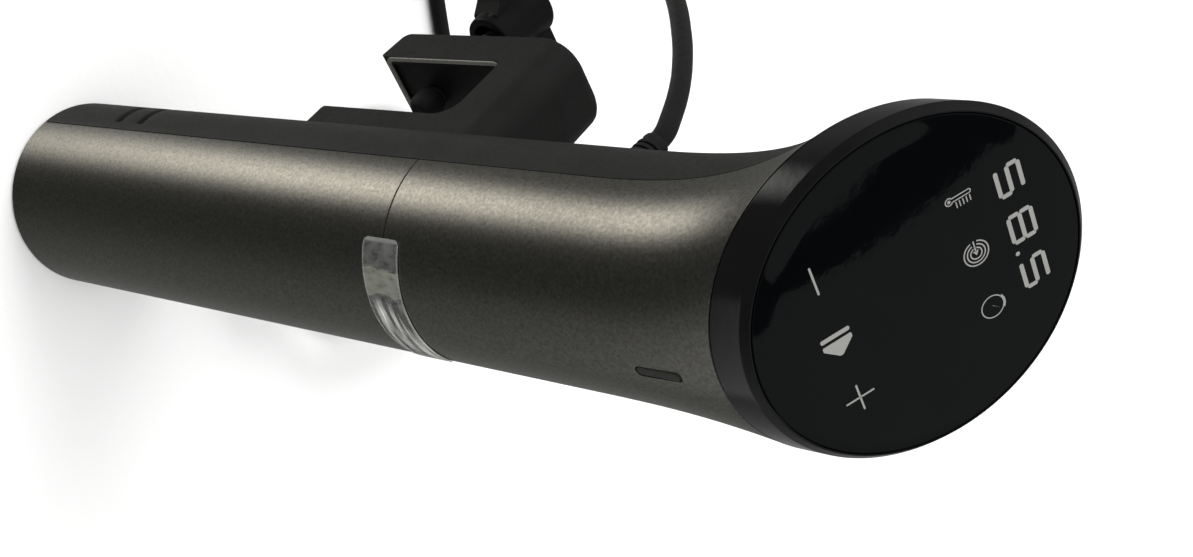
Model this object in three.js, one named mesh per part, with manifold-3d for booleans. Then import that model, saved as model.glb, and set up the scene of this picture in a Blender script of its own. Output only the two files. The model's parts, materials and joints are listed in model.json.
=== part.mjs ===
// Immersion (sous vide) circulator: a slim body that clamps to the wall of a pot.
// Units are millimetres. +Z points up along the body, +X to the user's right and +Y to the back,
// where the clamp and the mains lead are. The origin is the centre of the flat foot face.

import * as THREE from 'three';
import { mergeVertices } from 'three/addons/utils/BufferGeometryUtils.js';
import Module from 'manifold-3d';

const wasm = await Module();
wasm.setup();

// ---------- driving dimensions ----------

const gap = 0.3;                    // clearance between neighbouring solids
const bodyRadius = 32;              // outside of the tubular body
const metalWall = 1.2;
const plasticWall = 2.2;
const foot = 0.9;                   // the shells stand this far above the foot face

const headTilt = THREE.MathUtils.degToRad(30);
const headRadius = 45.6;            // display ring, measured across the tilted face
const headY = 8.5;                  // centre of the tilted face
const headZ = 331.6;
const bezelHeight = 8.2;            // outer wall of the display ring, measured straight down
const shoulderRise = 1.9;           // sloping shoulder of the ring, from its outer wall up to the glass
const glassRadius = 43.2;

const flareStart = 248;             // the tube starts to widen here
const flarePower = 3;               // how sharply it widens towards the head
const seamZ = 191.3;                // level seam between the skirt and the upper front shell
const filmLow = 183.8;              // blank film stuck on the front, across the seam
const filmHigh = 197.8;

const slotLow = 275.9;              // indicator slot in the upper front shell
const slotHigh = 289.1;
const slotWidth = 2.6;

const bracketHalfWidth = 15.5;
const bracketLow = 98;
const bracketHigh = 181;
const footTop = 39.3;               // seat for the pot wall
const armInner = 67;
const armOuter = 80;
const armLow = 103;
const bridgeLow = 159;              // end wall of the pot notch
const screwZ = 120;                 // height of the clamp screw's axis
const screwRadius = 3.4;
const padFace = 57.5;               // free face of the pressure pad, clamp fully open
const knobMouth = 98;               // arm side of the knob
const knobTop = 122;

const cordRadius = 3.25;
const cordExitZ = 225;
const reliefLength = 20;            // strain relief outside the housing
const coilCentre = [94, 98];
const coilInner = 26;
const coilOuter = 46.4;
const coilLow = 1.05;
const coilHigh = 14.4;
const tieAngle = THREE.MathUtils.degToRad(200);
const plugCentre = [56, 41];

const round = 40;                   // facets on a full circle of the body

// ---------- colours ----------

function finish(colour, roughness, metalness = 0) {
  return new THREE.MeshStandardMaterial({ color: colour, roughness, metalness });
}

const gunmetal = finish(0x6a665f, 0.42, 0.9);
const darkPlastic = finish(0x3a3b3a, 0.6);
const glossBlack = finish(0x08090a, 0.08);
const glassBlack = finish(0x050506, 0.05);
const lensGrey = finish(0xb9bab8, 0.4);
const blackRubber = finish(0x17181a, 0.65);
const cordBlack = finish(0x1b1c1e, 0.5);
const zincScrew = finish(0x303236, 0.4, 0.8);
const steel = finish(0xb4b6b8, 0.3, 0.9);
const brass = finish(0xc8a45a, 0.3, 0.9);
const whitePlastic = finish(0xd8d8d2, 0.55);
const boardGreen = finish(0x1f5a3a, 0.5);
const partBlue = finish(0x2a4d8f, 0.45);
const partBlack = finish(0x1c1c1e, 0.5);
const copperBrown = finish(0x8a4f2c, 0.45, 0.4);
const filmGrey = finish(0xa9aaa4, 0.3);

// ---------- solids ----------

// A closed manifold solid from a closed three.js geometry, turned the right way out.
function solidOf(geometry) {
  const bare = geometry.clone();
  bare.deleteAttribute('normal');
  bare.deleteAttribute('uv');
  const merged = mergeVertices(bare, 1e-4);
  const place = merged.getAttribute('position');
  const corners = [];
  let volume = 0;
  const a = new THREE.Vector3();
  const b = new THREE.Vector3();
  const c = new THREE.Vector3();
  for (let i = 0; i < merged.index.count; i += 3) {
    const [p, q, r] = [0, 1, 2].map((k) => merged.index.getX(i + k));
    if (p === q || q === r || r === p) continue;
    a.fromBufferAttribute(place, p);
    b.fromBufferAttribute(place, q);
    c.fromBufferAttribute(place, r);
    volume += a.dot(b.cross(c));
    corners.push(p, q, r);
  }
  if (volume < 0) corners.reverse();
  const mesh = new wasm.Mesh({
    numProp: 3,
    vertProperties: new Float32Array(place.array),
    triVerts: new Uint32Array(corners),
  });
  return new wasm.Manifold(mesh);
}

function geometryOf(solid) {
  const mesh = solid.getMesh();
  const geometry = new THREE.BufferGeometry();
  geometry.setAttribute('position', new THREE.BufferAttribute(new Float32Array(mesh.vertProperties), 3));
  geometry.setIndex(new THREE.BufferAttribute(new Uint32Array(mesh.triVerts), 1));
  geometry.computeVertexNormals();
  return geometry;
}

function joined(solids) {
  return solids.reduce((whole, next) => whole.add(next));
}

function block(x0, x1, y0, y1, z0, z1) {
  const geometry = new THREE.BoxGeometry(x1 - x0, y1 - y0, z1 - z0);
  geometry.translate((x0 + x1) / 2, (y0 + y1) / 2, (z0 + z1) / 2);
  return solidOf(geometry);
}

// A closed turned solid about +Z. The profile is a list of [radius, height].
function turned(profile, facets = round) {
  const points = profile.map(([r, h]) => new THREE.Vector2(r, h));
  const closes = profile[0][0] === 0 && profile[profile.length - 1][0] === 0;
  if (!closes) points.push(points[0].clone());
  const geometry = new THREE.LatheGeometry(points, facets);
  geometry.rotateX(Math.PI / 2);
  return solidOf(geometry);
}

// The same, about an axis that runs towards +Y at the given x and z.
function turnedAlongY(profile, x, z, facets = 24) {
  return turned(profile, facets).rotate([-90, 0, 0]).translate([x, 0, z]);
}

function disc(radius, low, high, facets = round) {
  return turned([[0, low], [radius, low], [radius, high], [0, high]], facets);
}

function tubeRing(inner, outer, low, high, facets = round) {
  return turned([[inner, low], [outer, low], [outer, high], [inner, high]], facets);
}

function post(radius, x, y, low, high, facets = 10) {
  return disc(radius, low, high, facets).translate([x, y, 0]);
}

// A rounded rectangle or any outline drawn in the X-Y plane and extruded along +Z.
function prism(shape, low, high, arcSteps = 4) {
  const geometry = new THREE.ExtrudeGeometry(shape, {
    depth: high - low,
    bevelEnabled: false,
    curveSegments: arcSteps,
  });
  geometry.translate(0, 0, low);
  return solidOf(geometry);
}

function roundedRectangle(x0, x1, y0, y1, lowRadius, highRadius = lowRadius) {
  const shape = new THREE.Shape();
  shape.moveTo(x0 + lowRadius, y0);
  shape.lineTo(x1 - lowRadius, y0);
  shape.absarc(x1 - lowRadius, y0 + lowRadius, lowRadius, -Math.PI / 2, 0);
  shape.lineTo(x1, y1 - highRadius);
  shape.absarc(x1 - highRadius, y1 - highRadius, highRadius, 0, Math.PI / 2);
  shape.lineTo(x0 + highRadius, y1);
  shape.absarc(x0 + highRadius, y1 - highRadius, highRadius, Math.PI / 2, Math.PI);
  shape.lineTo(x0, y0 + lowRadius);
  shape.absarc(x0 + lowRadius, y0 + lowRadius, lowRadius, Math.PI, Math.PI * 1.5);
  return shape;
}

// An outline drawn in the X-Z plane and extruded from one y to another.
function prismAlongY(shape, y0, y1, arcSteps = 4) {
  return prism(shape, -y1, -y0, arcSteps).rotate([90, 0, 0]);
}

// An outline drawn in the Y-Z plane and extruded from one x to another.
function prismAlongX(shape, x0, x1, arcSteps = 4) {
  return prism(shape, x0, x1, arcSteps).rotate([90, 0, 90]);
}

// A round tube that follows a smooth curve through the points.
function tubeThrough(points, radius, steps, sides = 10) {
  const curve = new THREE.CatmullRomCurve3(points.map((p) => new THREE.Vector3(...p)), false, 'centripetal');
  const section = new THREE.Shape();
  for (let i = 0; i < sides; i += 1) {
    const angle = (i / sides) * 2 * Math.PI;
    const corner = [radius * Math.cos(angle), radius * Math.sin(angle)];
    if (i === 0) section.moveTo(...corner);
    else section.lineTo(...corner);
  }
  section.closePath();
  return solidOf(new THREE.ExtrudeGeometry(section, { steps, extrudePath: curve, bevelEnabled: false }));
}

const assembly = new THREE.Group();

function add(name, solid, material) {
  const mesh = new THREE.Mesh(geometryOf(solid), material);
  mesh.name = name;
  assembly.add(mesh);
}

// ---------- body outline ----------

const shellRim = bezelHeight + gap;          // depth of the shells' upper edge below the face
const widest = bodyRadius * 3;

// A point on the body's flared skin: angle round the body, climb from 0 to 1 up the flare.
function flarePoint(angle, climb, inset) {
  const base = bodyRadius - inset;
  const rim = headRadius - inset;
  const rimX = rim * Math.cos(angle);
  const rimY = headY + rim * Math.cos(headTilt) * Math.sin(angle);
  const rimZ = headZ - shellRim + rim * Math.sin(headTilt) * Math.sin(angle);
  const spread = climb ** flarePower;
  return [
    THREE.MathUtils.lerp(base * Math.cos(angle), rimX, spread),
    THREE.MathUtils.lerp(base * Math.sin(angle), rimY, spread),
    THREE.MathUtils.lerp(flareStart, rimZ, climb),
  ];
}

// The whole outside of the body as one solid, shrunk by inset, its upper edge raised by lift.
function bodyCore(inset, low, lift) {
  const flareRows = 8;
  const rows = [[], []];
  for (let i = 0; i < round; i += 1) {
    const angle = (i / round) * 2 * Math.PI;
    const radius = bodyRadius - inset;
    rows[0].push([radius * Math.cos(angle), radius * Math.sin(angle), low]);
    rows[1].push([radius * Math.cos(angle), radius * Math.sin(angle), flareStart]);
  }
  for (let row = 1; row <= flareRows; row += 1) {
    rows.push(rows[0].map((_, i) => flarePoint((i / round) * 2 * Math.PI, row / flareRows, inset)));
  }
  if (lift > 0) rows.push(rows[rows.length - 1].map(([x, y, z]) => [x, y, z + lift]));
  const places = rows.flat(2);
  const lowCentre = places.length / 3;
  places.push(0, 0, low);
  places.push(0, headY, headZ - shellRim + lift);
  const index = [];
  for (let row = 0; row < rows.length - 1; row += 1) {
    for (let i = 0; i < round; i += 1) {
      const next = (i + 1) % round;
      const [a, b] = [row * round + i, row * round + next];
      index.push(a, b, b + round, a, b + round, a + round);
    }
  }
  const last = (rows.length - 1) * round;
  for (let i = 0; i < round; i += 1) {
    const next = (i + 1) % round;
    index.push(lowCentre, next, i);
    index.push(lowCentre + 1, last + i, last + next);
  }
  const geometry = new THREE.BufferGeometry();
  geometry.setAttribute('position', new THREE.BufferAttribute(new Float32Array(places), 3));
  geometry.setIndex(index);
  return solidOf(geometry);
}

const halfGap = gap / 2;
const frontHalf = block(-widest, widest, -widest, -halfGap, -widest, 400);
const backHalf = block(-widest, widest, halfGap, widest, -widest, 400);

// ---------- housing ----------

function slotPrism(width, low, high, y0, y1) {
  return prismAlongY(roundedRectangle(-width / 2, width / 2, low, high, width / 2 - 0.01), y0, y1, 5);
}

function upperFrontShell() {
  const skin = bodyCore(0, foot, 0).subtract(bodyCore(metalWall, foot - 2, 2));
  const [slotFront, slotBack] = [-bodyRadius - 4, -bodyRadius + 6];
  const slot = slotPrism(slotWidth + 2 * gap, slotLow - gap, slotHigh + gap, slotFront, slotBack);
  const belowSeam = block(-widest, widest, -widest, widest, -widest, seamZ + gap / 2);
  return skin.intersect(frontHalf).subtract(belowSeam).subtract(slot);
}

function skirtShell() {
  return tubeRing(bodyRadius - metalWall, bodyRadius, foot, seamZ - gap / 2).intersect(frontHalf);
}

// Two slanted water slots on each side of the back half.
const ventLows = [42.5, 54.8];
const ventHeight = 3.6;
const ventSlope = -0.45;

function ventCutters() {
  const cutters = [];
  for (const low of ventLows) {
    for (const side of [-1, 1]) {
      const shape = new THREE.Shape();
      const [near, far] = [3.6, 26];
      shape.moveTo(near, low + ventSlope * near - ventHeight / 2);
      shape.lineTo(far, low + ventSlope * far - ventHeight / 2);
      shape.lineTo(far, low + ventSlope * far + ventHeight / 2);
      shape.lineTo(near, low + ventSlope * near + ventHeight / 2);
      shape.closePath();
      const [x0, x1] = side < 0 ? [-bodyRadius - 2, -12] : [12, bodyRadius + 2];
      cutters.push(prismAlongX(shape, x0, x1));
    }
  }
  return joined(cutters);
}

// A guide strip inside the split line, which the front shells close onto.
const tongueOuter = bodyRadius - metalWall - gap;
const tongueInner = tongueOuter - 1.6;

function guideTongue() {
  const ring = tubeRing(tongueInner, tongueOuter, 9, flareStart - 4);
  return ring.intersect(block(-widest, widest, -3, 2.5, 0, 400));
}

const bracketScrewHeights = [115.5, 169];
const bracketScrewRadius = 1.5;
const glandNeckRadius = 5.2;

function rearShell() {
  const skin = bodyCore(0, foot, 0).subtract(bodyCore(plasticWall, foot - 2, 2)).intersect(backHalf);
  const holes = bracketScrewHeights.map((z) => turnedAlongY(
    [[0, 20], [bracketScrewRadius + gap, 20], [bracketScrewRadius + gap, 36], [0, 36]], 0, z, 16));
  holes.push(turnedAlongY(
    [[0, 20], [glandNeckRadius, 20], [glandNeckRadius, 40], [0, 40]], 0, cordExitZ, 24));
  return skin.add(guideTongue()).subtract(joined(holes)).subtract(ventCutters());
}

// Flat foot with a solid middle and a ring of inlet slots.
function endCap() {
  const capRadius = bodyRadius - plasticWall - gap;
  const cap = turned([[0, 0], [capRadius - 0.8, 0], [capRadius, 0.8], [capRadius, 7], [capRadius - 2, 7],
    [capRadius - 2, 3], [0, 3]]);
  const slotCount = 8;
  const cutters = [];
  for (let i = 0; i < slotCount; i += 1) {
    const slot = prism(roundedRectangle(14, 24, -1.7, 1.7, 1.6), -1, 5, 2);
    cutters.push(slot.rotate([0, 0, (i + 0.5) * (360 / slotCount)]));
  }
  return cap.subtract(joined(cutters));
}

// ---------- head ----------

// Turned about the head's centre, then leaned over, with the radius across the tilted face. Heights below
// the top of the ring's outer wall are measured straight down, and heights above it square to the face.
function headTurned(profile, facets = round) {
  const points = profile.map(([r, h]) => new THREE.Vector2(r, h));
  const closes = profile[0][0] === 0 && profile[profile.length - 1][0] === 0;
  if (!closes) points.push(points[0].clone());
  const geometry = new THREE.LatheGeometry(points, facets);
  geometry.rotateX(Math.PI / 2);
  const place = geometry.getAttribute('position');
  for (let i = 0; i < place.count; i++) {
    const slope = place.getY(i);
    const sunk = Math.min(place.getZ(i), 0);
    const raised = Math.max(place.getZ(i), 0);
    place.setY(i, headY + slope * Math.cos(headTilt) - raised * Math.sin(headTilt));
    place.setZ(i, headZ + slope * Math.sin(headTilt) + raised * Math.cos(headTilt) + sunk);
  }
  return solidOf(geometry);
}

const pocketDepth = 2.4;
const ledgeRadius = 40;

function displayBezel() {
  const pocket = glassRadius + gap;
  const ledge = shoulderRise - pocketDepth;
  return headTurned([[ledgeRadius, -bezelHeight], [headRadius, -bezelHeight], [headRadius, -0.3],
    [headRadius - 0.2, 0], [pocket + 0.2, shoulderRise], [pocket, shoulderRise], [pocket, ledge],
    [ledgeRadius, ledge]], 48);
}

function displayGlass() {
  const under = shoulderRise - pocketDepth + gap;
  return headTurned([[0, under], [glassRadius, under], [glassRadius, shoulderRise - 0.3],
    [glassRadius - 0.2, shoulderRise - 0.1], [0, shoulderRise - 0.1]], 48);
}

function displayBoard() {
  return headTurned([[0, -6.4], [38, -6.4], [38, -4.8], [0, -4.8]], 32);
}

function headGasket() {
  return headTurned([[39.2, -10.4], [41.2, -10.4], [41.2, -shellRim], [39.2, -shellRim]], 28);
}

function indicatorLens() {
  return slotPrism(slotWidth, slotLow, slotHigh, -bodyRadius + 0.15, -bodyRadius + 2.4);
}

// ---------- clamp ----------

// Side outline of the bracket, drawn in the Y-Z plane: foot, bridge and arm round the pot notch.
function bracketOutline() {
  const notchCorner = 8;
  const outerCorner = 5;
  const shape = new THREE.Shape();
  shape.moveTo(15, bracketLow);
  shape.lineTo(footTop - 1.5, bracketLow + 0.5);
  shape.lineTo(footTop, bracketLow + 3);
  shape.lineTo(footTop, bridgeLow - notchCorner);
  shape.absarc(footTop + notchCorner, bridgeLow - notchCorner, notchCorner, Math.PI, Math.PI / 2, true);
  shape.lineTo(armInner - 2, bridgeLow);
  shape.lineTo(armInner, bridgeLow - 2);
  shape.lineTo(armInner, armLow + 1.5);
  shape.lineTo(armInner + 1.5, armLow);
  shape.lineTo(armOuter - 2.5, armLow + 1);
  shape.lineTo(armOuter, armLow + 3.5);
  shape.lineTo(armOuter, bracketHigh - outerCorner);
  shape.absarc(armOuter - outerCorner, bracketHigh - outerCorner, outerCorner, 0, Math.PI / 2);
  shape.lineTo(15, bracketHigh);
  shape.closePath();
  return shape;
}

const gripPocket = 1.2;
const gripHalfWidth = 11;
const gripLow = 103;
const gripHigh = 149;

function clampBracket() {
  const side = prismAlongX(bracketOutline(), -bracketHalfWidth, bracketHalfWidth);
  const plan = roundedRectangle(-bracketHalfWidth, bracketHalfWidth, bracketLow, bracketHigh, 3, 10);
  const shaped = side.intersect(prismAlongY(plan, 0, armOuter + 10, 5));
  const bodySeat = disc(bodyRadius + gap, 0, 400);
  const screwBore = turnedAlongY(
    [[0, 60], [screwRadius + gap, 60], [screwRadius + gap, 90], [0, 90]], 0, screwZ, 24);
  const holes = bracketScrewHeights.map((z) => turnedAlongY(
    [[0, 20], [bracketScrewRadius + gap, 20], [bracketScrewRadius + gap, 37.2], [0, 37.2]], 0, z, 16));
  const grip = prismAlongY(roundedRectangle(-gripHalfWidth, gripHalfWidth, gripLow, gripHigh, 2),
    footTop - gripPocket, footTop + 5, 3);
  return shaped.subtract(joined([bodySeat, screwBore, grip, ...holes]));
}

function gripPad() {
  const shape = roundedRectangle(-gripHalfWidth + gap, gripHalfWidth - gap, gripLow + gap, gripHigh - gap, 2);
  return prismAlongY(shape, footTop - gripPocket + gap, footTop + 0.6, 3);
}

function bracketScrew(z) {
  const capRadius = 3.2;
  const capHigh = bodyRadius - plasticWall - 2 * gap;
  const capLow = capHigh - 2.6;
  const tip = 36.6;
  return turnedAlongY([[0, capLow], [capRadius, capLow], [capRadius, capHigh],
    [bracketScrewRadius, capHigh], [bracketScrewRadius, tip], [0, tip]], 0, z, 16);
}

const screwTip = padFace + 3;
const screwEnd = knobMouth + 14;

function clampScrew() {
  return turnedAlongY([[0, screwTip], [screwRadius - 1, screwTip], [screwRadius, screwTip + 1],
    [screwRadius, screwEnd - 0.6], [screwRadius - 0.6, screwEnd], [0, screwEnd]], 0, screwZ, 20);
}

function pressurePad() {
  const back = armInner - 0.7;
  const socket = screwRadius + gap;
  return turnedAlongY([[0, padFace], [2.9, padFace], [4.3, padFace + 0.8], [5, padFace + 2.4], [5, back],
    [socket, back], [socket, screwTip - gap], [0, screwTip - gap]], 0, screwZ, 24);
}

// Side outline of the knob's two wings, drawn in the Y-Z plane about the screw's axis and turned later.
function wingOutline() {
  const reach = 28;
  const tip = 5;
  const root = knobMouth + 3;
  const tipY = knobTop - 1 - tip;
  const shape = new THREE.Shape();
  shape.moveTo(root, screwZ - 8.4);
  shape.lineTo(root, screwZ + 8.4);
  shape.quadraticCurveTo(root + 7, screwZ + 14, tipY - tip, screwZ + reach - tip);
  shape.absarc(tipY, screwZ + reach - tip, tip, Math.PI, 0, true);
  shape.lineTo(tipY + tip, screwZ - reach + tip);
  shape.absarc(tipY, screwZ - reach + tip, tip, 0, -Math.PI, true);
  shape.quadraticCurveTo(root + 7, screwZ - 14, root, screwZ - 8.4);
  return shape;
}

// A hollow-mouthed hub with two wings, and a blind bore that grips the screw's end.
function clampKnob() {
  const cupDepth = 8;
  const bore = screwRadius + gap;
  const boreEnd = screwEnd + gap;
  const hub = turnedAlongY([[0, knobMouth], [9, knobMouth], [9.4, knobMouth + 4], [11.4, knobTop - 1.4],
    [10, knobTop], [0, knobTop]], 0, screwZ, 32);
  const wings = prismAlongX(wingOutline(), -5.5, 5.5, 5)
    .translate([0, 0, -screwZ]).rotate([0, 90, 0]).translate([0, 0, screwZ]);
  const hollow = turnedAlongY([[0, knobMouth - 1], [6.6, knobMouth - 1], [6.1, knobMouth + cupDepth],
    [bore, knobMouth + cupDepth], [bore, boreEnd], [0, boreEnd]], 0, screwZ, 24);
  return hub.add(wings).subtract(hollow);
}

// ---------- mains lead ----------

// Route of the lead from its strain relief to the coil on the floor, chosen by hand.
const cordRoute = [
  [0, 52.4, 225], [0, 56.5, 224.8], [0, 63, 222.6], [0, 76.9, 216.6], [0, 91.8, 208], [0, 107.4, 197.1],
  [0, 123.9, 183.8], [0, 139, 169], [0, 152, 151], [-1, 163.5, 130], [-3, 174, 107], [-6, 184, 83],
  [-8.8, 191.8, 60], [-9.6, 195.3, 40], [-7, 194.3, 25.5], [0.3, 191.3, 13.8], [11.1, 186.9, 6],
  [24, 181.6, 3.4], [36.5, 176.5, 3.3], [51.4, 170.4, 3.3], [70, 164, 3.3], [90, 158.5, 3.3],
  [108.5, 153.3, 3.3], [125, 145.2, 3.4], [136.3, 130.6, 3.8], [142.3, 110.9, 4.3],
];

const plugTailRoute = [[104.2, 49, 10.6], [99.3, 45.3, 10], [91.7, 42.1, 8.5], [84, 41, 7.6]];

function strainRelief() {
  const wall = bodyRadius;
  const inside = wall - plasticWall - 1.5;
  return turnedAlongY([[0, inside - 2.4], [7.2, inside - 2.4], [7.2, inside],
    [glandNeckRadius - gap, inside], [glandNeckRadius - gap, wall + gap],
    [6.2, wall + gap], [6.2, wall + 3], [5.4, wall + 4], [cordRadius + 0.7, wall + reliefLength],
    [0, wall + reliefLength]], 0, cordExitZ, 24);
}

function cordCoil() {
  const chamfer = 2.2;
  const [inside, outside] = [coilInner + chamfer, coilOuter - chamfer];
  const [low, high] = [coilLow + chamfer, coilHigh - chamfer];
  return turned([[inside, coilLow], [outside, coilLow], [coilOuter, low], [coilOuter, high],
    [outside, coilHigh], [inside, coilHigh], [coilInner, high], [coilInner, low]], 32)
    .translate([coilCentre[0], coilCentre[1], 0]);
}

function cordTie() {
  const strap = 0.6;
  const halfWidth = 5;
  const curveIn = 0.5;              // the ring's inner wall bends this far inside the strap's width
  const inner = [coilInner - curveIn - gap, coilOuter + gap, coilLow - gap, coilHigh + gap];
  const shell = roundedRectangle(inner[0] - strap, inner[1] + strap, inner[2] - strap, inner[3] + strap, 2.2);
  const hole = roundedRectangle(...inner, 1.6);
  const band = prismAlongY(shell, -halfWidth, halfWidth, 3)
    .subtract(prismAlongY(hole, -halfWidth - 1, halfWidth + 1, 3));
  return band.rotate([0, 0, THREE.MathUtils.radToDeg(tieAngle)]).translate([coilCentre[0], coilCentre[1], 0]);
}

const plugHalfLength = 17;
const plugHalfWidth = 12.5;
const plugHeight = 17;
const plugAxisZ = 8.6;
const plugNeckZ = 7.6;

// The lead enters the plug from +X and the blades point towards -X.
function plugBody() {
  const [x, y] = plugCentre;
  const side = prismAlongY(roundedRectangle(x - plugHalfLength, x + plugHalfLength, 0.1, plugHeight, 3.5),
    y - plugHalfWidth, y + plugHalfWidth, 4);
  const plan = prism(roundedRectangle(x - plugHalfLength, x + plugHalfLength, y - plugHalfWidth,
    y + plugHalfWidth, 5), 0, plugHeight + 1, 4);
  const neckLength = 10;
  const neck = turned([[0, -2], [6.2, -2], [6.2, 0], [4.4, neckLength], [0, neckLength]], 16)
    .rotate([0, 90, 0]).translate([x + plugHalfLength, y, plugNeckZ]);
  const sockets = plugPins(gap, 5).map((pin) => pin.solid);
  return side.intersect(plan).add(neck).subtract(joined(sockets));
}

function plugPins(extra, sunk) {
  const [x, y] = plugCentre;
  const face = x - plugHalfLength;
  const bladeLength = 17;
  const blade = (side) => block(face - bladeLength, face + sunk, y + side * 6.35 - 0.8 - extra,
    y + side * 6.35 + 0.8 + extra, plugAxisZ - 5 - extra, plugAxisZ + 1.4 + extra);
  const pinRadius = 2.4 + extra;
  const pinLength = bladeLength + 3;
  const pinProfile = [[0, -sunk], [pinRadius, -sunk], [pinRadius, pinLength - 2],
    [pinRadius - 1, pinLength], [0, pinLength]];
  const ground = turned(pinProfile, 16).rotate([0, -90, 0]).translate([face, y, plugAxisZ + 4.4]);
  return [
    { name: 'plug_blade_line', solid: blade(-1) },
    { name: 'plug_blade_neutral', solid: blade(1) },
    { name: 'plug_ground_pin', solid: ground },
  ];
}

// ---------- wet end ----------

const shaftRadius = 2;
const impellerLow = 12;

function impeller() {
  const bladeCount = 6;
  const hub = tubeRing(shaftRadius + gap, 5.5, impellerLow, impellerLow + 12, 14);
  const plate = tubeRing(shaftRadius + gap, 20, impellerLow + 10, impellerLow + 12, 24);
  const blades = [];
  for (let i = 0; i < bladeCount; i += 1) {
    const blade = block(4, 19, -0.8, 0.8, impellerLow, impellerLow + 11);
    blades.push(blade.rotate([0, 0, (i * 360) / bladeCount + 10]));
  }
  return joined([hub, plate, ...blades]);
}

const sealLow = 106;
const sealHigh = 110;
const heaterRadius = 22;
const heaterTube = 2.6;
const heaterLegs = [[heaterRadius, 0], [-heaterRadius, 0]];
const probePlaces = [
  { name: 'temperature_probe', x: -8, y: 9, radius: 2, low: 34 },
  { name: 'level_rod_long', x: 8, y: 9, radius: 1.5, low: 40 },
  { name: 'level_rod_short', x: 0, y: 12.5, radius: 1.5, low: 74 },
];

function sealPlate() {
  const inside = tongueInner - gap;
  const plate = turned([[shaftRadius + gap, sealLow], [inside, sealLow], [inside, sealLow + 1],
    [inside - 1.4, sealLow + 1], [inside - 1.4, sealHigh - 1], [inside, sealHigh - 1], [inside, sealHigh],
    [shaftRadius + gap, sealHigh]], 28);
  const holes = heaterLegs.map(([x, y]) => post(heaterTube + gap, x, y, sealLow - 2, sealHigh + 2));
  for (const probe of probePlaces) {
    holes.push(post(probe.radius + gap, probe.x, probe.y, sealLow - 2, sealHigh + 2));
  }
  return plate.subtract(joined(holes));
}

function sealRing() {
  const inside = tongueInner - gap;
  const [inner, outer] = [inside - 1.1, inside];
  return tubeRing(inner, outer, sealLow + 1.3, sealHigh - 1.3, 28);
}

// The heater's path: one straight drop through the seal plate, then a helix down round the impeller shaft.
function heaterPath() {
  const turns = 3.5;
  const stepsPerTurn = 12;
  const [low, high] = [38, 76];
  const points = [[heaterRadius, 0, sealHigh + 6], [heaterRadius, 0, high + 12]];
  for (let i = 0; i <= turns * stepsPerTurn; i += 1) {
    const share = i / (turns * stepsPerTurn);
    const angle = share * turns * 2 * Math.PI;
    const lift = THREE.MathUtils.lerp(high, low, share);
    points.push([heaterRadius * Math.cos(angle), heaterRadius * Math.sin(angle), lift]);
  }
  return points;
}

function sensorRod(probe) {
  return turned([[0, probe.low], [probe.radius * 0.6, probe.low + 0.4], [probe.radius, probe.low + 1.6],
    [probe.radius, sealHigh + 5], [0, sealHigh + 5]], 12).translate([probe.x, probe.y, 0]);
}

// ---------- dry inside ----------

const mountLow = 120;
const motorLow = mountLow + 3 + gap;
const motorHigh = motorLow + 36;
const fanLow = motorHigh + 3;

function shaftSeal() {
  return tubeRing(shaftRadius + gap, 7, sealHigh + gap, sealHigh + 5, 24);
}

function motorMount() {
  const plate = tubeRing(shaftRadius + 2, 27, mountLow, mountLow + 3, 28);
  const legs = [];
  for (const angle of [45, 135, 225, 315]) {
    const place = THREE.MathUtils.degToRad(angle);
    legs.push(post(2.4, 24 * Math.cos(place), 24 * Math.sin(place), sealHigh + gap, mountLow + 1, 12));
  }
  return joined([plate, ...legs]);
}

function driveMotor() {
  const canRadius = 17.5;
  const corner = 1.5;
  const [bore, rim] = [shaftRadius + gap, canRadius - corner];
  return turned([[bore, motorLow], [rim, motorLow], [canRadius, motorLow + corner],
    [canRadius, motorHigh - corner], [rim, motorHigh], [bore, motorHigh]], 24);
}

function coolingFan() {
  const bladeCount = 7;
  const hub = tubeRing(shaftRadius + gap, 8, fanLow, fanLow + 8, 16);
  const blades = [];
  for (let i = 0; i < bladeCount; i += 1) {
    const blade = block(7, 20, -0.7, 0.7, -3.6, 3.6).rotate([35, 0, 0]).translate([0, 0, fanLow + 4]);
    blades.push(blade.rotate([0, 0, (i * 360) / bladeCount]));
  }
  return joined([hub, ...blades]);
}

const spineY = 21.5;
const boardY = 8;

function chassis() {
  const spine = block(-17, 17, spineY, spineY + 2, motorLow, 296);
  const cable = block(-6, 6, spineY - 5, spineY + 5, cordExitZ - 9, cordExitZ + 9);
  const ribs = [-16, 14].map((x) => block(x, x + 2, spineY - 4, spineY + 1, 184, 290));
  const arms = [196, 276].map((z) => block(-14, 14, boardY + 2 + gap, spineY + 1, z, z + 3));
  return joined([spine, ...ribs, ...arms]).subtract(cable);
}

function powerBoard() {
  return block(-23, 23, boardY, boardY + 1.6, 182, 290);
}

const boardFace = boardY - gap;

function boardCapacitor() {
  return turned([[0, 0], [8, 0], [8, 22], [7.2, 24], [0, 24]], 24)
    .translate([-12, boardFace - 8.2, 258]);
}

function boardRelay() {
  return block(4, 20, boardFace - 14, boardFace, 250, 272);
}

function boardTransformer() {
  const core = block(-15, 9, boardFace - 18, boardFace, 222, 244);
  const winding = block(-10, 4, boardFace - 22, boardFace - 1, 224, 242);
  return core.add(winding);
}

function heatSink() {
  const plate = block(-20, 18, boardFace - 4, boardFace, 188, 214);
  const fins = [];
  for (let x = -20; x <= 15; x += 7) fins.push(block(x, x + 2, boardFace - 16, boardFace - 3, 188, 214));
  return joined([plate, ...fins]);
}

// ---------- film ----------

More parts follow.
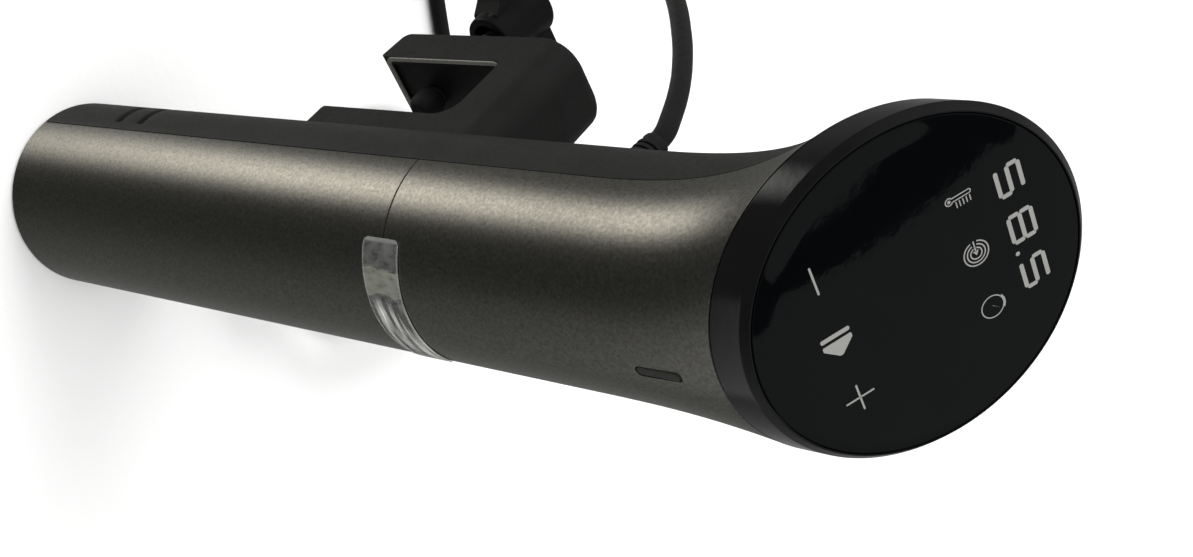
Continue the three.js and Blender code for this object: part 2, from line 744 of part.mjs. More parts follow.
// Thin blank film round the front, sealing the seam of the two shells.
function filmLabel() {
  const [inner, outer] = [bodyRadius + 0.2, bodyRadius + 0.45];
  const shape = new THREE.Shape();
  const from = THREE.MathUtils.degToRad(-90 - 44);
  const to = THREE.MathUtils.degToRad(-90 + 36);
  shape.absarc(0, 0, outer, from, to);
  shape.absarc(0, 0, inner, to, from, true);
  shape.closePath();
  return prism(shape, filmLow, filmHigh, 12);
}

// ---------- the assembly ----------

add('upper_front_shell', upperFrontShell(), gunmetal);
add('skirt_shell', skirtShell(), gunmetal);
add('rear_shell', rearShell(), darkPlastic);
add('end_cap', endCap(), darkPlastic);
add('display_bezel', displayBezel(), glossBlack);
add('display_glass', displayGlass(), glassBlack);
add('display_board', displayBoard(), boardGreen);
add('head_gasket', headGasket(), blackRubber);
add('indicator_lens', indicatorLens(), lensGrey);
add('film_label', filmLabel(), filmGrey);

add('clamp_bracket', clampBracket(), darkPlastic);
add('grip_pad', gripPad(), blackRubber);
add('bracket_screw_lower', bracketScrew(bracketScrewHeights[0]), steel);
add('bracket_screw_upper', bracketScrew(bracketScrewHeights[1]), steel);
add('pressure_pad', pressurePad(), blackRubber);
add('clamp_screw', clampScrew(), zincScrew);
add('clamp_knob', clampKnob(), blackRubber);

add('strain_relief', strainRelief(), blackRubber);
add('power_cord', tubeThrough(cordRoute, cordRadius, 44, 8), cordBlack);
add('cord_coil', cordCoil(), cordBlack);
add('cord_tie', cordTie(), blackRubber);
add('plug_tail', tubeThrough(plugTailRoute, cordRadius, 6, 8), cordBlack);
add('plug_body', plugBody(), blackRubber);
for (const pin of plugPins(0, 4.4)) add(pin.name, pin.solid, brass);

add('impeller', impeller(), whitePlastic);
add('impeller_shaft', disc(shaftRadius, impellerLow - 1, fanLow + 10, 16), steel);
add('heater_coil', tubeThrough(heaterPath(), heaterTube, 60, 6), steel);
for (const probe of probePlaces) add(probe.name, sensorRod(probe), steel);
add('seal_plate', sealPlate(), whitePlastic);
add('seal_ring', sealRing(), blackRubber);
add('shaft_seal', shaftSeal(), blackRubber);
add('motor_mount', motorMount(), darkPlastic);
add('drive_motor', driveMotor(), steel);
add('cooling_fan', coolingFan(), partBlack);
add('chassis', chassis(), whitePlastic);
add('power_board', powerBoard(), boardGreen);
add('board_capacitor', boardCapacitor(), partBlue);
add('board_relay', boardRelay(), partBlack);
add('board_transformer', boardTransformer(), copperBrown);
add('heat_sink', heatSink(), steel);

export default assembly;
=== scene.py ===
"""Looks of the sous vide circulator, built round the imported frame.

Lengths in this file are millimetres in the frame's own axes, turned into metres as each mesh is made:
+Z up along the body, +Y to the back, where the clamp and the mains lead are.
"""

import json
from math import asin, atan2, copysign, cos, pi, radians, sin, sqrt, tan

import bmesh
import bpy
from mathutils import Matrix, Vector


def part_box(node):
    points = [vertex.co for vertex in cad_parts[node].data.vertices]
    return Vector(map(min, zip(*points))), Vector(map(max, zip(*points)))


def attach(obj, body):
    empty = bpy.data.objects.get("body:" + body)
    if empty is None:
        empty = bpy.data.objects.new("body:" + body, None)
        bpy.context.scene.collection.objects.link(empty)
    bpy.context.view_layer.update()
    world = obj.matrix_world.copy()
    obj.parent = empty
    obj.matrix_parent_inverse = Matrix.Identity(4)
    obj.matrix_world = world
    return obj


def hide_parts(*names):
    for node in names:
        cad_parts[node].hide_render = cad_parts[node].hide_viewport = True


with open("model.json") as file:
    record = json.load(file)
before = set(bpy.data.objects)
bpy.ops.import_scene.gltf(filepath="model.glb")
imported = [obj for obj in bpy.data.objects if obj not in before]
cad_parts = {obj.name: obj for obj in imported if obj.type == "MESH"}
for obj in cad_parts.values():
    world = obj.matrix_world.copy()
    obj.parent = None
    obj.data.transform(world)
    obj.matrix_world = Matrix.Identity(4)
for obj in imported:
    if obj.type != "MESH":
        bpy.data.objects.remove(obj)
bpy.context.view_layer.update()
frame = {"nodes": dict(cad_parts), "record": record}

MM = 0.001

# ---------- driving dimensions ----------

GAP = 0.3
BODY_RADIUS = 32.0
METAL_WALL = 1.2
PLASTIC_WALL = 2.2
FOOT = 0.9

HEAD_TILT = radians(30)
HEAD_RADIUS = 45.6
HEAD_Y = 8.5
HEAD_Z = 331.6
BEZEL_HEIGHT = 8.2
SHOULDER_RISE = 1.9
GLASS_RADIUS = 43.2

FLARE_START = 248.0
FLARE_POWER = 3
SEAM_Z = 191.3
FILM_LOW = 183.8
FILM_HIGH = 197.8

SLOT_LOW = 275.9
SLOT_HIGH = 289.1
SLOT_WIDTH = 2.6

BRACKET_HALF_WIDTH = 15.5
BRACKET_LOW = 98.0
BRACKET_HIGH = 181.0
FOOT_TOP = 39.3
ARM_INNER = 67.0
ARM_OUTER = 80.0
ARM_LOW = 103.0
BRIDGE_LOW = 159.0

SCREW_Z = 120.0
SCREW_RADIUS = 3.4
SCREW_PITCH = 2.5
PAD_FACE = 57.5
KNOB_MOUTH = 98.0
KNOB_TOP = 122.0

CORD_RADIUS = 3.25
CORD_EXIT_Z = 225.0
RELIEF_LENGTH = 20.0
COIL_CENTRE = (94.0, 98.0)
COIL_INNER = 26.0
COIL_OUTER = 46.4
COIL_LOW = 1.05
COIL_HIGH = 14.4
TIE_ANGLE = radians(200)
PLUG_FACE_X = 39.0
PLUG_Y = 41.0
PLUG_PIN_Z = 8.6


# ---------- camera ----------

def placed(name, data):
    """A new object in the scene."""
    made = bpy.data.objects.new(name, data)
    bpy.context.scene.collection.objects.link(made)
    return made


def photo_camera():
    """Looks down on the head from the front left, rolled so that the body lies across the frame."""
    data = bpy.data.cameras.new("camera")
    data.sensor_width = 36.0
    data.lens = 49.27
    data.clip_start = 0.02
    data.clip_end = 30.0
    camera = placed("camera", data)
    place = Vector((-237.5, -225.8, 519.5)) * MM
    aim = Vector((0.0, -4.0, 242.9)) * MM
    roll = radians(98.77)
    back = (place - aim).normalized()
    level_up = (Vector((0, 0, 1)) - back * back.z).normalized()
    level_right = level_up.cross(back)
    up = level_up * cos(roll) - level_right * sin(roll)
    right = up.cross(back)
    turn = Matrix((right, up, back)).transposed().to_4x4()
    camera.matrix_world = Matrix.Translation(place) @ turn
    bpy.context.scene.camera = camera


photo_camera()


# ---------- materials ----------

def set_inputs(tree, node, inputs):
    """Sets a node's inputs, each to a value or to another node's output."""
    for name, value in inputs.items():
        if isinstance(value, bpy.types.NodeSocket):
            tree.links.new(value, node.inputs[name])
        else:
            node.inputs[name].default_value = value


def add_node(tree, kind, inputs, **settings):
    made = tree.nodes.new("ShaderNode" + kind)
    for setting, value in settings.items():
        setattr(made, setting, value)
    set_inputs(tree, made, inputs)
    return made


def noise(tree, feature, detail):
    """A noise texture on the piece's own coordinates, its features about the given millimetres."""
    place = add_node(tree, "TexCoord", {}).outputs["Object"]
    inputs = {"Vector": place, "Scale": 1 / (feature * MM), "Detail": detail}
    return add_node(tree, "TexNoise", inputs).outputs["Fac"]


def ramp(tree, source, low, high, start=0.3, end=0.7, shape="LINEAR"):
    """Maps start..end of the source to low..high. The plain limits suit a noise."""
    limits = {"Value": source, "From Min": start, "From Max": end, "To Min": low, "To Max": high}
    return add_node(tree, "MapRange", limits, interpolation_type=shape).outputs["Result"]


def maths(tree, how, first, second):
    return add_node(tree, "Math", {0: first, 1: second}, operation=how).outputs[0]


def mixed(tree, share, first, second):
    """Mixes two colours, each given as three numbers or as another node's output."""
    first, second = [c if isinstance(c, bpy.types.NodeSocket) else (*c, 1) for c in (first, second)]
    inputs = {"Factor": share, "A": first, "B": second}
    return add_node(tree, "Mix", inputs, data_type="RGBA").outputs["Result"]


def add_relief(tree, shader, height, strength, distance):
    """Bump from a height source, its full height given in millimetres."""
    bump = add_node(tree, "Bump", {"Height": height, "Strength": strength, "Distance": distance * MM})
    set_inputs(tree, shader, {"Normal": bump.outputs["Normal"]})


MATERIALS = {}


def new_material(name):
    made = bpy.data.materials.new(name)
    made.use_nodes = True
    MATERIALS[name] = made
    return made, made.node_tree, made.node_tree.nodes["Principled BSDF"]


def surface(name, colour, roughness, grain, bump, metallic=0.0, spread=0.12, rough_spread=0.06,
            blotch=14.0, specular=0.5, coat=0.0, coat_roughness=0.1):
    """A material with fine grain in its relief, slow blotches in its colour and uneven gloss."""
    made, tree, shader = new_material(name)
    dark = [c * (1 - spread) for c in colour]
    light = [c * (1 + spread) for c in colour]
    blotches = ramp(tree, noise(tree, blotch, 4.0), 0, 1)
    gloss = ramp(tree, noise(tree, grain * 3, 3.0), roughness - rough_spread, roughness + rough_spread)
    set_inputs(tree, shader, {
        "Base Color": mixed(tree, blotches, dark, light), "Roughness": gloss, "Metallic": metallic,
        "Specular IOR Level": specular, "Coat Weight": coat, "Coat Roughness": coat_roughness,
    })
    add_relief(tree, shader, noise(tree, grain, 2.0), bump, grain * 0.5)
    return made


def blasted_metal():
    """Warm gunmetal with a bead-blasted sparkle."""
    return surface("metal_shell", (0.30, 0.29, 0.265), 0.30, 0.28, 0.16, metallic=1.0, spread=0.24,
                   rough_spread=0.03, blotch=0.9)


def blank_film():
    """Clear film: smoky at its left end, then a clouded patch with torn edges, then creases along it.

    Places round the body are shares of a full turn, and each pair is where a change starts and ends.
    """
    left_rim = (0.1285, 0.1315)
    patch_start = (0.1655, 0.1675)
    patch_end = (0.203, 0.205)
    creases_start = (0.205, 0.23)
    tear = 0.022
    made, tree, shader = new_material("clear_film")
    place = add_node(tree, "TexCoord", {}).outputs["Object"]
    around = add_node(tree, "TexGradient", {"Vector": place}, gradient_type="RADIAL").outputs["Fac"]
    height = add_node(tree, "SeparateXYZ", {"Vector": place}).outputs["Z"]
    flat = add_node(tree, "CombineXYZ", {"X": around, "Y": height}).outputs["Vector"]

    def texture(scale, along_scale, detail):
        spot = add_node(tree, "Mapping", {"Vector": flat, "Scale": (along_scale, 1, 1)}).outputs["Vector"]
        return add_node(tree, "TexNoise", {"Vector": spot, "Scale": scale, "Detail": detail}).outputs["Fac"]

    ragged = maths(tree, "MULTIPLY", maths(tree, "SUBTRACT", texture(260, 0.2, 3), 0.5), tear)
    torn = maths(tree, "ADD", around, ragged)
    patch = maths(tree, "MULTIPLY", ramp(tree, torn, 0, 1, *patch_start), ramp(tree, torn, 1, 0, *patch_end))
    creased = ramp(tree, around, 0, 1, *creases_start)
    cloud = ramp(tree, texture(240, 0.5, 4), 0, 1, 0.35, 0.65)
    crease = ramp(tree, texture(620, 0.018, 5), 0, 1, 0.42, 0.66)
    smoky = mixed(tree, cloud, (0.065, 0.066, 0.065), (0.15, 0.15, 0.145))
    clouded = mixed(tree, cloud, (0.15, 0.155, 0.125), (0.23, 0.235, 0.20))
    streaks = mixed(tree, crease, (0.11, 0.108, 0.104), (0.80, 0.79, 0.75))
    off_middle = maths(tree, "SUBTRACT", height, (FILM_LOW + FILM_HIGH) / 2 * MM)
    half = (FILM_HIGH - FILM_LOW) / 2
    off_middle = maths(tree, "ABSOLUTE", off_middle, 0)
    long_rims = ramp(tree, off_middle, 0, 1, (half - 0.7) * MM, (half - 0.2) * MM)
    rim = maths(tree, "MAXIMUM", long_rims, ramp(tree, around, 1, 0, *left_rim))
    colour = mixed(tree, patch, mixed(tree, creased, smoky, streaks), clouded)
    colour = mixed(tree, maths(tree, "MULTIPLY", rim, 0.55), colour, (0.34, 0.34, 0.32))
    solid = maths(tree, "MAXIMUM", patch, maths(tree, "MULTIPLY", crease, creased))
    set_inputs(tree, shader, {
        "Base Color": colour, "Roughness": ramp(tree, cloud, 0.25, 0.42, 0, 1),
        "Alpha": ramp(tree, solid, 0.72, 0.97, 0, 1), "Coat Weight": 0.3, "Coat Roughness": 0.15,
    })
    add_relief(tree, shader, crease, 0.5, 0.15)
    return made


blasted_metal()
surface("rear_plastic", (0.0095, 0.0095, 0.0088), 0.5, 0.5, 0.22)
surface("clamp_plastic", (0.0075, 0.0075, 0.0072), 0.5, 0.5, 0.2, specular=0.35)
surface("knob_plastic", (0.004, 0.004, 0.004), 0.42, 0.6, 0.2, specular=0.3)
surface("bezel_gloss", (0.004, 0.004, 0.004), 0.09, 2.0, 0.02, rough_spread=0.02, coat=0.5,
        coat_roughness=0.03)
surface("display_glass", (0.0012, 0.0015, 0.0018), 0.03, 3.0, 0.004, rough_spread=0.01)
surface("lens_grey", (0.022, 0.0215, 0.02), 0.4, 0.4, 0.1, spread=0.04)
blank_film()
surface("rubber_black", (0.009, 0.009, 0.0095), 0.62, 0.4, 0.35, specular=0.4)
surface("cord_jacket", (0.005, 0.0055, 0.005), 0.42, 0.9, 0.18, blotch=9.0)
surface("plug_rubber", (0.016, 0.016, 0.018), 0.5, 0.6, 0.3)
surface("steel", (0.55, 0.55, 0.56), 0.26, 0.8, 0.08, metallic=1.0, spread=0.06)
surface("dark_steel", (0.06, 0.061, 0.065), 0.34, 0.5, 0.15, metallic=0.9)
surface("aluminium", (0.62, 0.63, 0.64), 0.36, 0.6, 0.12, metallic=1.0, spread=0.06)
surface("brass", (0.63, 0.45, 0.20), 0.24, 0.8, 0.08, metallic=1.0, spread=0.08)
surface("light_plastic", (0.60, 0.59, 0.56), 0.45, 0.6, 0.12, spread=0.05)
surface("black_part", (0.02, 0.02, 0.022), 0.45, 0.5, 0.2)
surface("board_green", (0.014, 0.09, 0.045), 0.4, 1.2, 0.15, spread=0.25, blotch=5.0)
surface("blue_sleeve", (0.02, 0.06, 0.24), 0.35, 1.0, 0.1)
surface("copper_wound", (0.34, 0.13, 0.05), 0.38, 0.5, 0.4, metallic=0.6)
# Pale colour for the arm's panel lip: a painted highlight standing in for the bright lines its rounded rim
# catches, on a real raised lip.
LIP_PAINTED_HIGHLIGHT = surface("lip_painted_highlight", (0.16, 0.155, 0.14), 0.3, 0.4, 0.1, spread=0.05)
PRINT_GREY = surface("print_grey", (0.30, 0.30, 0.285), 0.5, 0.5, 0.05, spread=0.05)


# ---------- meshes ----------

def new_mesh(name, points, faces):
    """A mesh object from points in millimetres, cleaned and with its faces pointing out."""
    data = bpy.data.meshes.new(name)
    data.from_pydata([Vector(p) * MM for p in points], [], faces)
    work = bmesh.new()
    work.from_mesh(data)
    bmesh.ops.remove_doubles(work, verts=work.verts, dist=1e-7)
    bmesh.ops.dissolve_degenerate(work, edges=work.edges, dist=1e-8)
    bmesh.ops.recalc_face_normals(work, faces=work.faces)
    work.to_mesh(data)
    work.free()
    return placed(name, data)


def fillet(corners, closed=True, step=radians(9)):
    """Outline through corners (x, y, radius), each rounded with an arc of its radius."""
    points = []
    last = len(corners) - 1
    for i, (x, y, radius) in enumerate(corners):
        here = Vector((x, y))
        if radius <= 0 or (not closed and i in (0, last)):
            points.append((x, y))
            continue
        before = (Vector(corners[i - 1][:2]) - here).normalized()
        after = (Vector(corners[(i + 1) % len(corners)][:2]) - here).normalized()
        half = before.angle(after) / 2
        centre = here + (before + after).normalized() * (radius / sin(half))
        start = here + before * (radius / tan(half)) - centre
        end = here + after * (radius / tan(half)) - centre
        turn = atan2(start.x * end.y - start.y * end.x, start.dot(end))
        steps = max(2, round(abs(turn) / step))
        for k in range(steps + 1):
            c, s = cos(turn * k / steps), sin(turn * k / steps)
            points.append((centre.x + start.x * c - start.y * s, centre.y + start.x * s + start.y * c))
    return points


def round_points(x, y, radius, angles):
    return [(x + radius * cos(a), y + radius * sin(a)) for a in angles]


def rounded_box(x0, x1, y0, y1, low, high=None):
    """Outline of a rectangle with corner radius low at y0 and high at y1."""
    high = low if high is None else high
    return fillet([(x0, y0, low), (x1, y0, low), (x1, y1, high), (x0, y1, high)])


def between_rings(rings):
    """Points and faces of a capped solid through rings of equally many points."""
    count = len(rings[0])
    points = [p for ring in rings for p in ring]
    faces = []
    for i in range(len(rings) - 1):
        a, b = i * count, (i + 1) * count
        for k in range(count):
            n = (k + 1) % count
            faces.append((a + k, a + n, b + n, b + k))
    faces.append(tuple(range(count - 1, -1, -1)))
    faces.append(tuple(range(len(points) - count, len(points))))
    return points, faces


def prism(name, outline, low, high, along):
    """An outline extruded along an axis: drawn in X-Y for Z, in X-Z for Y and in Y-Z for X."""
    places = {"Z": lambda a, b, c: (a, b, c), "Y": lambda a, b, c: (a, c, b), "X": lambda a, b, c: (c, a, b)}
    rings = [[places[along](a, b, level) for a, b in outline] for level in (low, high)]
    return new_mesh(name, *between_rings(rings))


def turned(name, profile, facets, place):
    """A profile of (radius, height) turned into a closed solid, each point set by place(x, y, h)."""
    closes = profile[0][0] == 0 and profile[-1][0] == 0
    loop = profile if closes else profile + [profile[0]]
    rings = []
    for k in range(facets):
        angle = 2 * pi * k / facets
        c, s = cos(angle), sin(angle)
        rings.append([place(r * c, r * s, h) for r, h in loop])
    points = [p for ring in rings for p in ring]
    faces = []
    span = len(loop)
    for k in range(facets):
        a, b = k * span, ((k + 1) % facets) * span
        for i in range(span - 1):
            faces.append((a + i, b + i, b + i + 1, a + i + 1))
    return new_mesh(name, points, faces)


def rod(name, radius, low, high, facets, place):
    return turned(name, [(0, low), (radius, low), (radius, high), (0, high)], facets, place)


def upright(x=0.0, y=0.0):
    """Sets a turned piece on an axis along Z."""
    return lambda a, b, h: (x + a, y + b, h)


def along_y(x, z):
    """Sets a turned piece on an axis along Y."""
    return lambda a, b, h: (x + a, h, z + b)


def leaned(u, v, h):
    """A point of the head: u across the face, v up its slope, h down the wall or square up to the glass."""
    sunk, raised = min(h, 0), max(h, 0)
    return (u, HEAD_Y + v * cos(HEAD_TILT) - raised * sin(HEAD_TILT),
            HEAD_Z + v * sin(HEAD_TILT) + raised * cos(HEAD_TILT) + sunk)


def applied(piece):
    """The piece with its modifiers made part of its mesh."""
    graph = bpy.context.evaluated_depsgraph_get()
    graph.update()
    before = piece.data
    piece.data = bpy.data.meshes.new_from_object(piece.evaluated_get(graph))
    piece.modifiers.clear()
    bpy.data.meshes.remove(before)
    return piece


def carve(piece, *tools, how="DIFFERENCE"):
    """Joins tools to the piece, or cuts them out of it, and removes them."""
    for tool in tools:
        change = piece.modifiers.new("carve", "BOOLEAN")
        change.operation = how
        change.solver = "EXACT"
        change.object = tool
    applied(piece)
    for tool in tools:
        bpy.data.objects.remove(tool)
    return piece


def add_bevel(piece, width, segments, limit):
    change = piece.modifiers.new("soft_edges", "BEVEL")
    change.width = width * MM
    change.segments = segments
    change.limit_method = "ANGLE"
    change.angle_limit = radians(limit)


def soften(piece, width, segments=3, limit=35):
    """Rounds the piece's sharp edges."""
    add_bevel(piece, width, segments, limit)
    return applied(piece)


def show(piece, slot, *nodes, body="housing", material=None, crease=42, weighted=False):
    """Gives a piece its shading, material and body, and hides the CAD nodes it stands for."""
    piece.data.shade_smooth()
    piece.data.set_sharp_from_angle(angle=radians(crease))
    if weighted:
        change = piece.modifiers.new("flat_faces", "WEIGHTED_NORMAL")
        change.keep_sharp = True
        change.weight = 100
        applied(piece)
    piece.data.materials.clear()
    piece.data.materials.append(material or MATERIALS[slot])
    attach(piece, body)
    if nodes:
        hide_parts(*nodes)
    return piece


def tube(name, points, radius, slot, *nodes, ring_steps, knot_steps):
    """A lead or pipe of the housing, round and smooth through its points."""
    data = bpy.data.curves.new(name, "CURVE")
    data.dimensions = "3D"
    data.bevel_depth = radius * MM
    data.bevel_resolution = ring_steps
    data.resolution_u = knot_steps
    data.use_fill_caps = True
    spline = data.splines.new("BEZIER")
    spline.bezier_points.add(len(points) - 1)
    for knot, point in zip(spline.bezier_points, points):
        knot.co = Vector(point) * MM
        knot.handle_left_type = "AUTO"
        knot.handle_right_type = "AUTO"
    data.materials.append(MATERIALS[slot])
    made = placed(name, data)
    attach(made, "housing")
    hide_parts(*nodes)
    return made


# ---------- mains lead ----------

CORD_ROUTE = [
    (0, 52.4, 225), (0, 56.5, 224.8), (0, 63, 222.6), (0, 76.9, 216.6), (0, 91.8, 208), (0, 107.4, 197.1),
    (0, 123.9, 183.8), (0, 139, 169), (0, 152, 151), (-1, 163.5, 130), (-3, 174, 107), (-6, 184, 83),
    (-8.8, 191.8, 60), (-9.6, 195.3, 40), (-7, 194.3, 25.5), (0.3, 191.3, 13.8), (11.1, 186.9, 6),
    (24, 181.6, 3.4), (36.5, 176.5, 3.3), (51.4, 170.4, 3.3), (70, 164, 3.3), (90, 158.5, 3.3),
    (108.5, 153.3, 3.3), (125, 145.2, 3.4), (136.3, 130.6, 3.8), (142.3, 110.9, 4.3),
]
PLUG_TAIL_ROUTE = [
    (125.2, 78.3, 10.95), (121.5, 70.7, 10.95), (117.1, 63.2, 10.95), (111.9, 56.2, 10.95),
    (104.2, 49, 10.6), (99.3, 45.3, 10), (91.7, 42.1, 8.5), (84, 41, 7.6),
]
COIL_LANES = [(43.1, 4.3), (36.3, 4.3), (29.5, 4.3), (29.5, 10.9), (36.3, 10.9)]


def ease(value):
    """A soft step from 0 to 1."""
    value = min(1.0, max(0.0, value))
    return value * value * (3 - 2 * value)


def coil_turns():
    """The wound part of the lead: from 15 degrees clockwise round the coil's centre, lane by lane."""
    start_angle = 15.0
    entry_radius = 50.0
    entry_turn = 55.0
    lane_change = 90.0
    first_change = 310.0
    change_every = 320.0
    end_at = 1466.0
    step = 9.0
    points = []
    turn = step
    while turn < end_at:
        radius, height = COIL_LANES[0]
        for i in range(1, len(COIL_LANES)):
            share = ease((turn - first_change - change_every * (i - 1)) / lane_change)
            radius += (COIL_LANES[i][0] - COIL_LANES[i - 1][0]) * share
            height += (COIL_LANES[i][1] - COIL_LANES[i - 1][1]) * share
        radius += (entry_radius - COIL_LANES[0][0]) * (1 - ease(turn / entry_turn))
        angle = radians(start_angle - turn)
        points.append((*round_points(*COIL_CENTRE, radius, [angle])[0], height))
        turn += step
    return points


def mains_lead():
    """The whole lead as one curve, from its strain relief to the plug, and its length."""
    points = CORD_ROUTE + coil_turns() + PLUG_TAIL_ROUTE
    made = tube("mains_lead", points, CORD_RADIUS, "cord_jacket", "power_cord", "cord_coil", "plug_tail",
                ring_steps=5, knot_steps=5)
    return made, made.data.splines[0].calc_length()


def strain_relief():
    """Tapered sleeve with flexible rings where the lead leaves the rear shell."""
    wall = BODY_RADIUS
    end = wall + RELIEF_LENGTH
    profile = [(0, wall - 7.6), (7.2, wall - 7.6), (7.2, wall - 3.7), (4.9, wall - 3.7), (4.9, wall + GAP),
               (6.0, wall + GAP), (6.2, wall + 0.6), (6.2, wall + 2.6), (5.9, wall + 3.1)]
    ring_count = 6
    ring_pitch = 2.2
    first_ring = wall + 4.4
    for i in range(ring_count):
        low = first_ring + i * ring_pitch
        outer = 5.5 - 0.2 * i
        ridge = [(0.75, -0.35), (0.75, 0), (0.1, 0.15), (0, 0.45), (0, 0.95), (0.1, 1.25), (0.75, 1.4)]
        profile += [(outer - below, low + h) for below, h in ridge]
    profile += [(4.15, end - 1.2), (4.0, end - 0.3), (3.7, end), (0, end)]
    made = turned("strain_relief_sleeve", profile, 48, along_y(0, CORD_EXIT_Z))
    return show(made, "rubber_black", "strain_relief", crease=50)


def cord_tie():
    """Strap round the coil's bundle, with its overlapping free end on top."""
    strap = 0.6
    half_width = 5.0
    curve_in = 0.5
    inner = (COIL_INNER - curve_in - GAP, COIL_OUTER + GAP, COIL_LOW - GAP, COIL_HIGH + GAP)
    outside = rounded_box(inner[0] - strap, inner[1] + strap, inner[2] - strap, inner[3] + strap, 2.4)
    hollow = rounded_box(*inner, 1.9)
    made = prism("lead_tie", outside, -half_width, half_width, "Y")
    carve(made, prism("tie_hollow", hollow, -half_width - 1, half_width + 1, "Y"))
    top = inner[3] + strap
    flap = rounded_box(COIL_INNER + 4, COIL_OUTER - 5, -half_width + 0.4, half_width - 0.4, 2.5)
    carve(made, prism("tie_flap", flap, top - 0.2, top + 0.45, "Z"), how="UNION")
    soften(made, 0.15, 2)
    turn = Matrix.Rotation(TIE_ANGLE, 4, "Z")
    shift = Matrix.Translation(Vector((*COIL_CENTRE, 0)) * MM)
    made.data.transform(shift @ turn)
    return show(made, "rubber_black", "cord_tie")


def plug_stations():
    """Sections of the plug: (x from its face, half width, half height, height of centre, squareness)."""
    body = [(0, 11.6, 7.6, 8.6, 4.5), (0.8, 12.2, 8.2, 8.6, 4.5), (2, 12.5, 8.4, 8.6, 4.5),
            (7, 12.5, 8.4, 8.6, 4.5), (9, 12.3, 8.3, 8.6, 4.2), (13, 11.2, 8.0, 8.6, 3.6),
            (18, 10.5, 7.7, 8.6, 3.4), (23, 10.8, 7.7, 8.5, 3.2), (27, 11.2, 7.6, 8.4, 3.0),
            (30, 10.6, 7.3, 8.2, 2.8), (32.5, 8.8, 6.7, 7.9, 2.5), (34, 6.6, 6.0, 7.7, 2.1)]
    neck = []
    rib_count = 4
    for i in range(rib_count):
        x = 34.6 + i * 2.4
        radius = 6.0 - 0.4 * i
        for step, sunk in ((0, 0.9), (0.4, 0), (1.5, 0.1), (1.9, 0.95)):
            neck.append((x + step, radius - sunk, radius - sunk, 7.6, 2))
    return body + neck


def plug_body():
    facets = 64
    rings = []
    for x, half_width, half_height, middle, square in plug_stations():
        ring = []
        for k in range(facets):
            angle = 2 * pi * k / facets
            c, s = cos(angle), sin(angle)
            across = copysign(abs(c) ** (2 / square), c) * half_width
            rise = copysign(abs(s) ** (2 / square), s) * half_height
            ring.append((PLUG_FACE_X + x, PLUG_Y + across, middle + rise))
        rings.append(ring)
    made = new_mesh("plug_moulding", *between_rings(rings))
    grips = []
    for side in (-1, 1):
        for i in range(4):
            x = PLUG_FACE_X + 13 + i * 3.2
            y = PLUG_Y + side * 11.6
            outline = rounded_box(x - 0.7, x + 0.7, y - 1.6, y + 1.6, 0.65)
            grips.append(prism("plug_grip", outline, 4.0, 13.0, "Z"))
    carve(made, *grips)
    return show(made, "plug_rubber", "plug_body", crease=38)


def plug_pins():
    """Two flat blades with rounded ends and a round ground pin."""
    face, axis = PLUG_FACE_X, PLUG_PIN_Z
    blade_length, blade_offset, half_thick = 17.0, 6.35, 0.8
    low, high = axis - 5, axis + 1.4
    root, tip = face + 4.4, face - blade_length
    outline = fillet([(root, low, 0.3), (root, high, 0.3), (tip, high, 1.6), (tip, low, 1.6)])
    opening = round_points(face - 12.5, axis - 1.8, 1.5, [pi * k / 12 for k in range(24)])
    for name, side in (("plug_blade_line", -1), ("plug_blade_neutral", 1)):
        y = PLUG_Y + side * blade_offset
        blade = prism(name + "_metal", outline, y - half_thick, y + half_thick, "Y")
        carve(blade, prism("blade_hole", opening, y - 2, y + 2, "Y"))
        soften(blade, 0.25, 2)
        show(blade, "brass", name)
    profile = [(0, root), (2.4, root), (2.4, face - 17.4), (2.2, face - 18.4), (1.7, face - 19.3),
               (0.9, face - 19.9), (0, face - 20)]
    ground = turned("plug_ground_metal", profile, 32, lambda a, b, h: (h, PLUG_Y + a, axis + 4.4 + b))
    show(ground, "brass", "plug_ground_pin")


lead, lead_length = mains_lead()
relief = strain_relief()
tie = cord_tie()
plug = plug_body()
plug_pins()


# ---------- housing shells ----------

EDGE_ROW = 0.35
VENT_LOWS = (42.5, 54.8)
VENT_SLOPE = -0.45
VENT_HEIGHT = 3.6


def flare_point(angle, climb, inset):
    """A point on the flared skin: angle round the body, climb from 0 to 1 up the flare."""
    shell_rim = HEAD_Z - (BEZEL_HEIGHT + GAP)
    base = BODY_RADIUS - inset
    rim = HEAD_RADIUS - inset
    low = (base * cos(angle), base * sin(angle), FLARE_START)
    high = (rim * cos(angle), HEAD_Y + rim * cos(HEAD_TILT) * sin(angle),
            shell_rim + rim * sin(HEAD_TILT) * sin(angle))
    spread = climb ** FLARE_POWER
    return (low[0] + (high[0] - low[0]) * spread, low[1] + (high[1] - low[1]) * spread,
            low[2] + (high[2] - low[2]) * climb)


def half_circle(front, radius):
    """Angles over the front or back half, half a gap short of the split, with a narrow row next to it."""
    columns = 96
    rest = asin(GAP / 2 / radius)
    start = pi if front else 0.0
    first, sweep = start + rest, pi - 2 * rest
    near = EDGE_ROW / radius
    return ([first, first + near] + [first + sweep * k / columns for k in range(1, columns)]
            + [first + sweep - near, first + sweep])


def skin_grid(front, inset, low, straight_rows):
    """Rows of points up one half of the body's skin, from the height low to the head's rim."""
    flare_rows = 44
    radius = BODY_RADIUS - inset
    angles = half_circle(front, radius)
    straight = FLARE_START - low
    heights = [low, low + EDGE_ROW] + [low + straight * i / straight_rows for i in range(1, straight_rows)]
    rows = [[(x, y, height) for x, y in round_points(0, 0, radius, angles)] for height in heights]
    climbs = [i / flare_rows for i in range(flare_rows)] + [1 - 0.006, 1]
    return rows + [[flare_point(angle, climb, inset) for angle in angles] for climb in climbs]


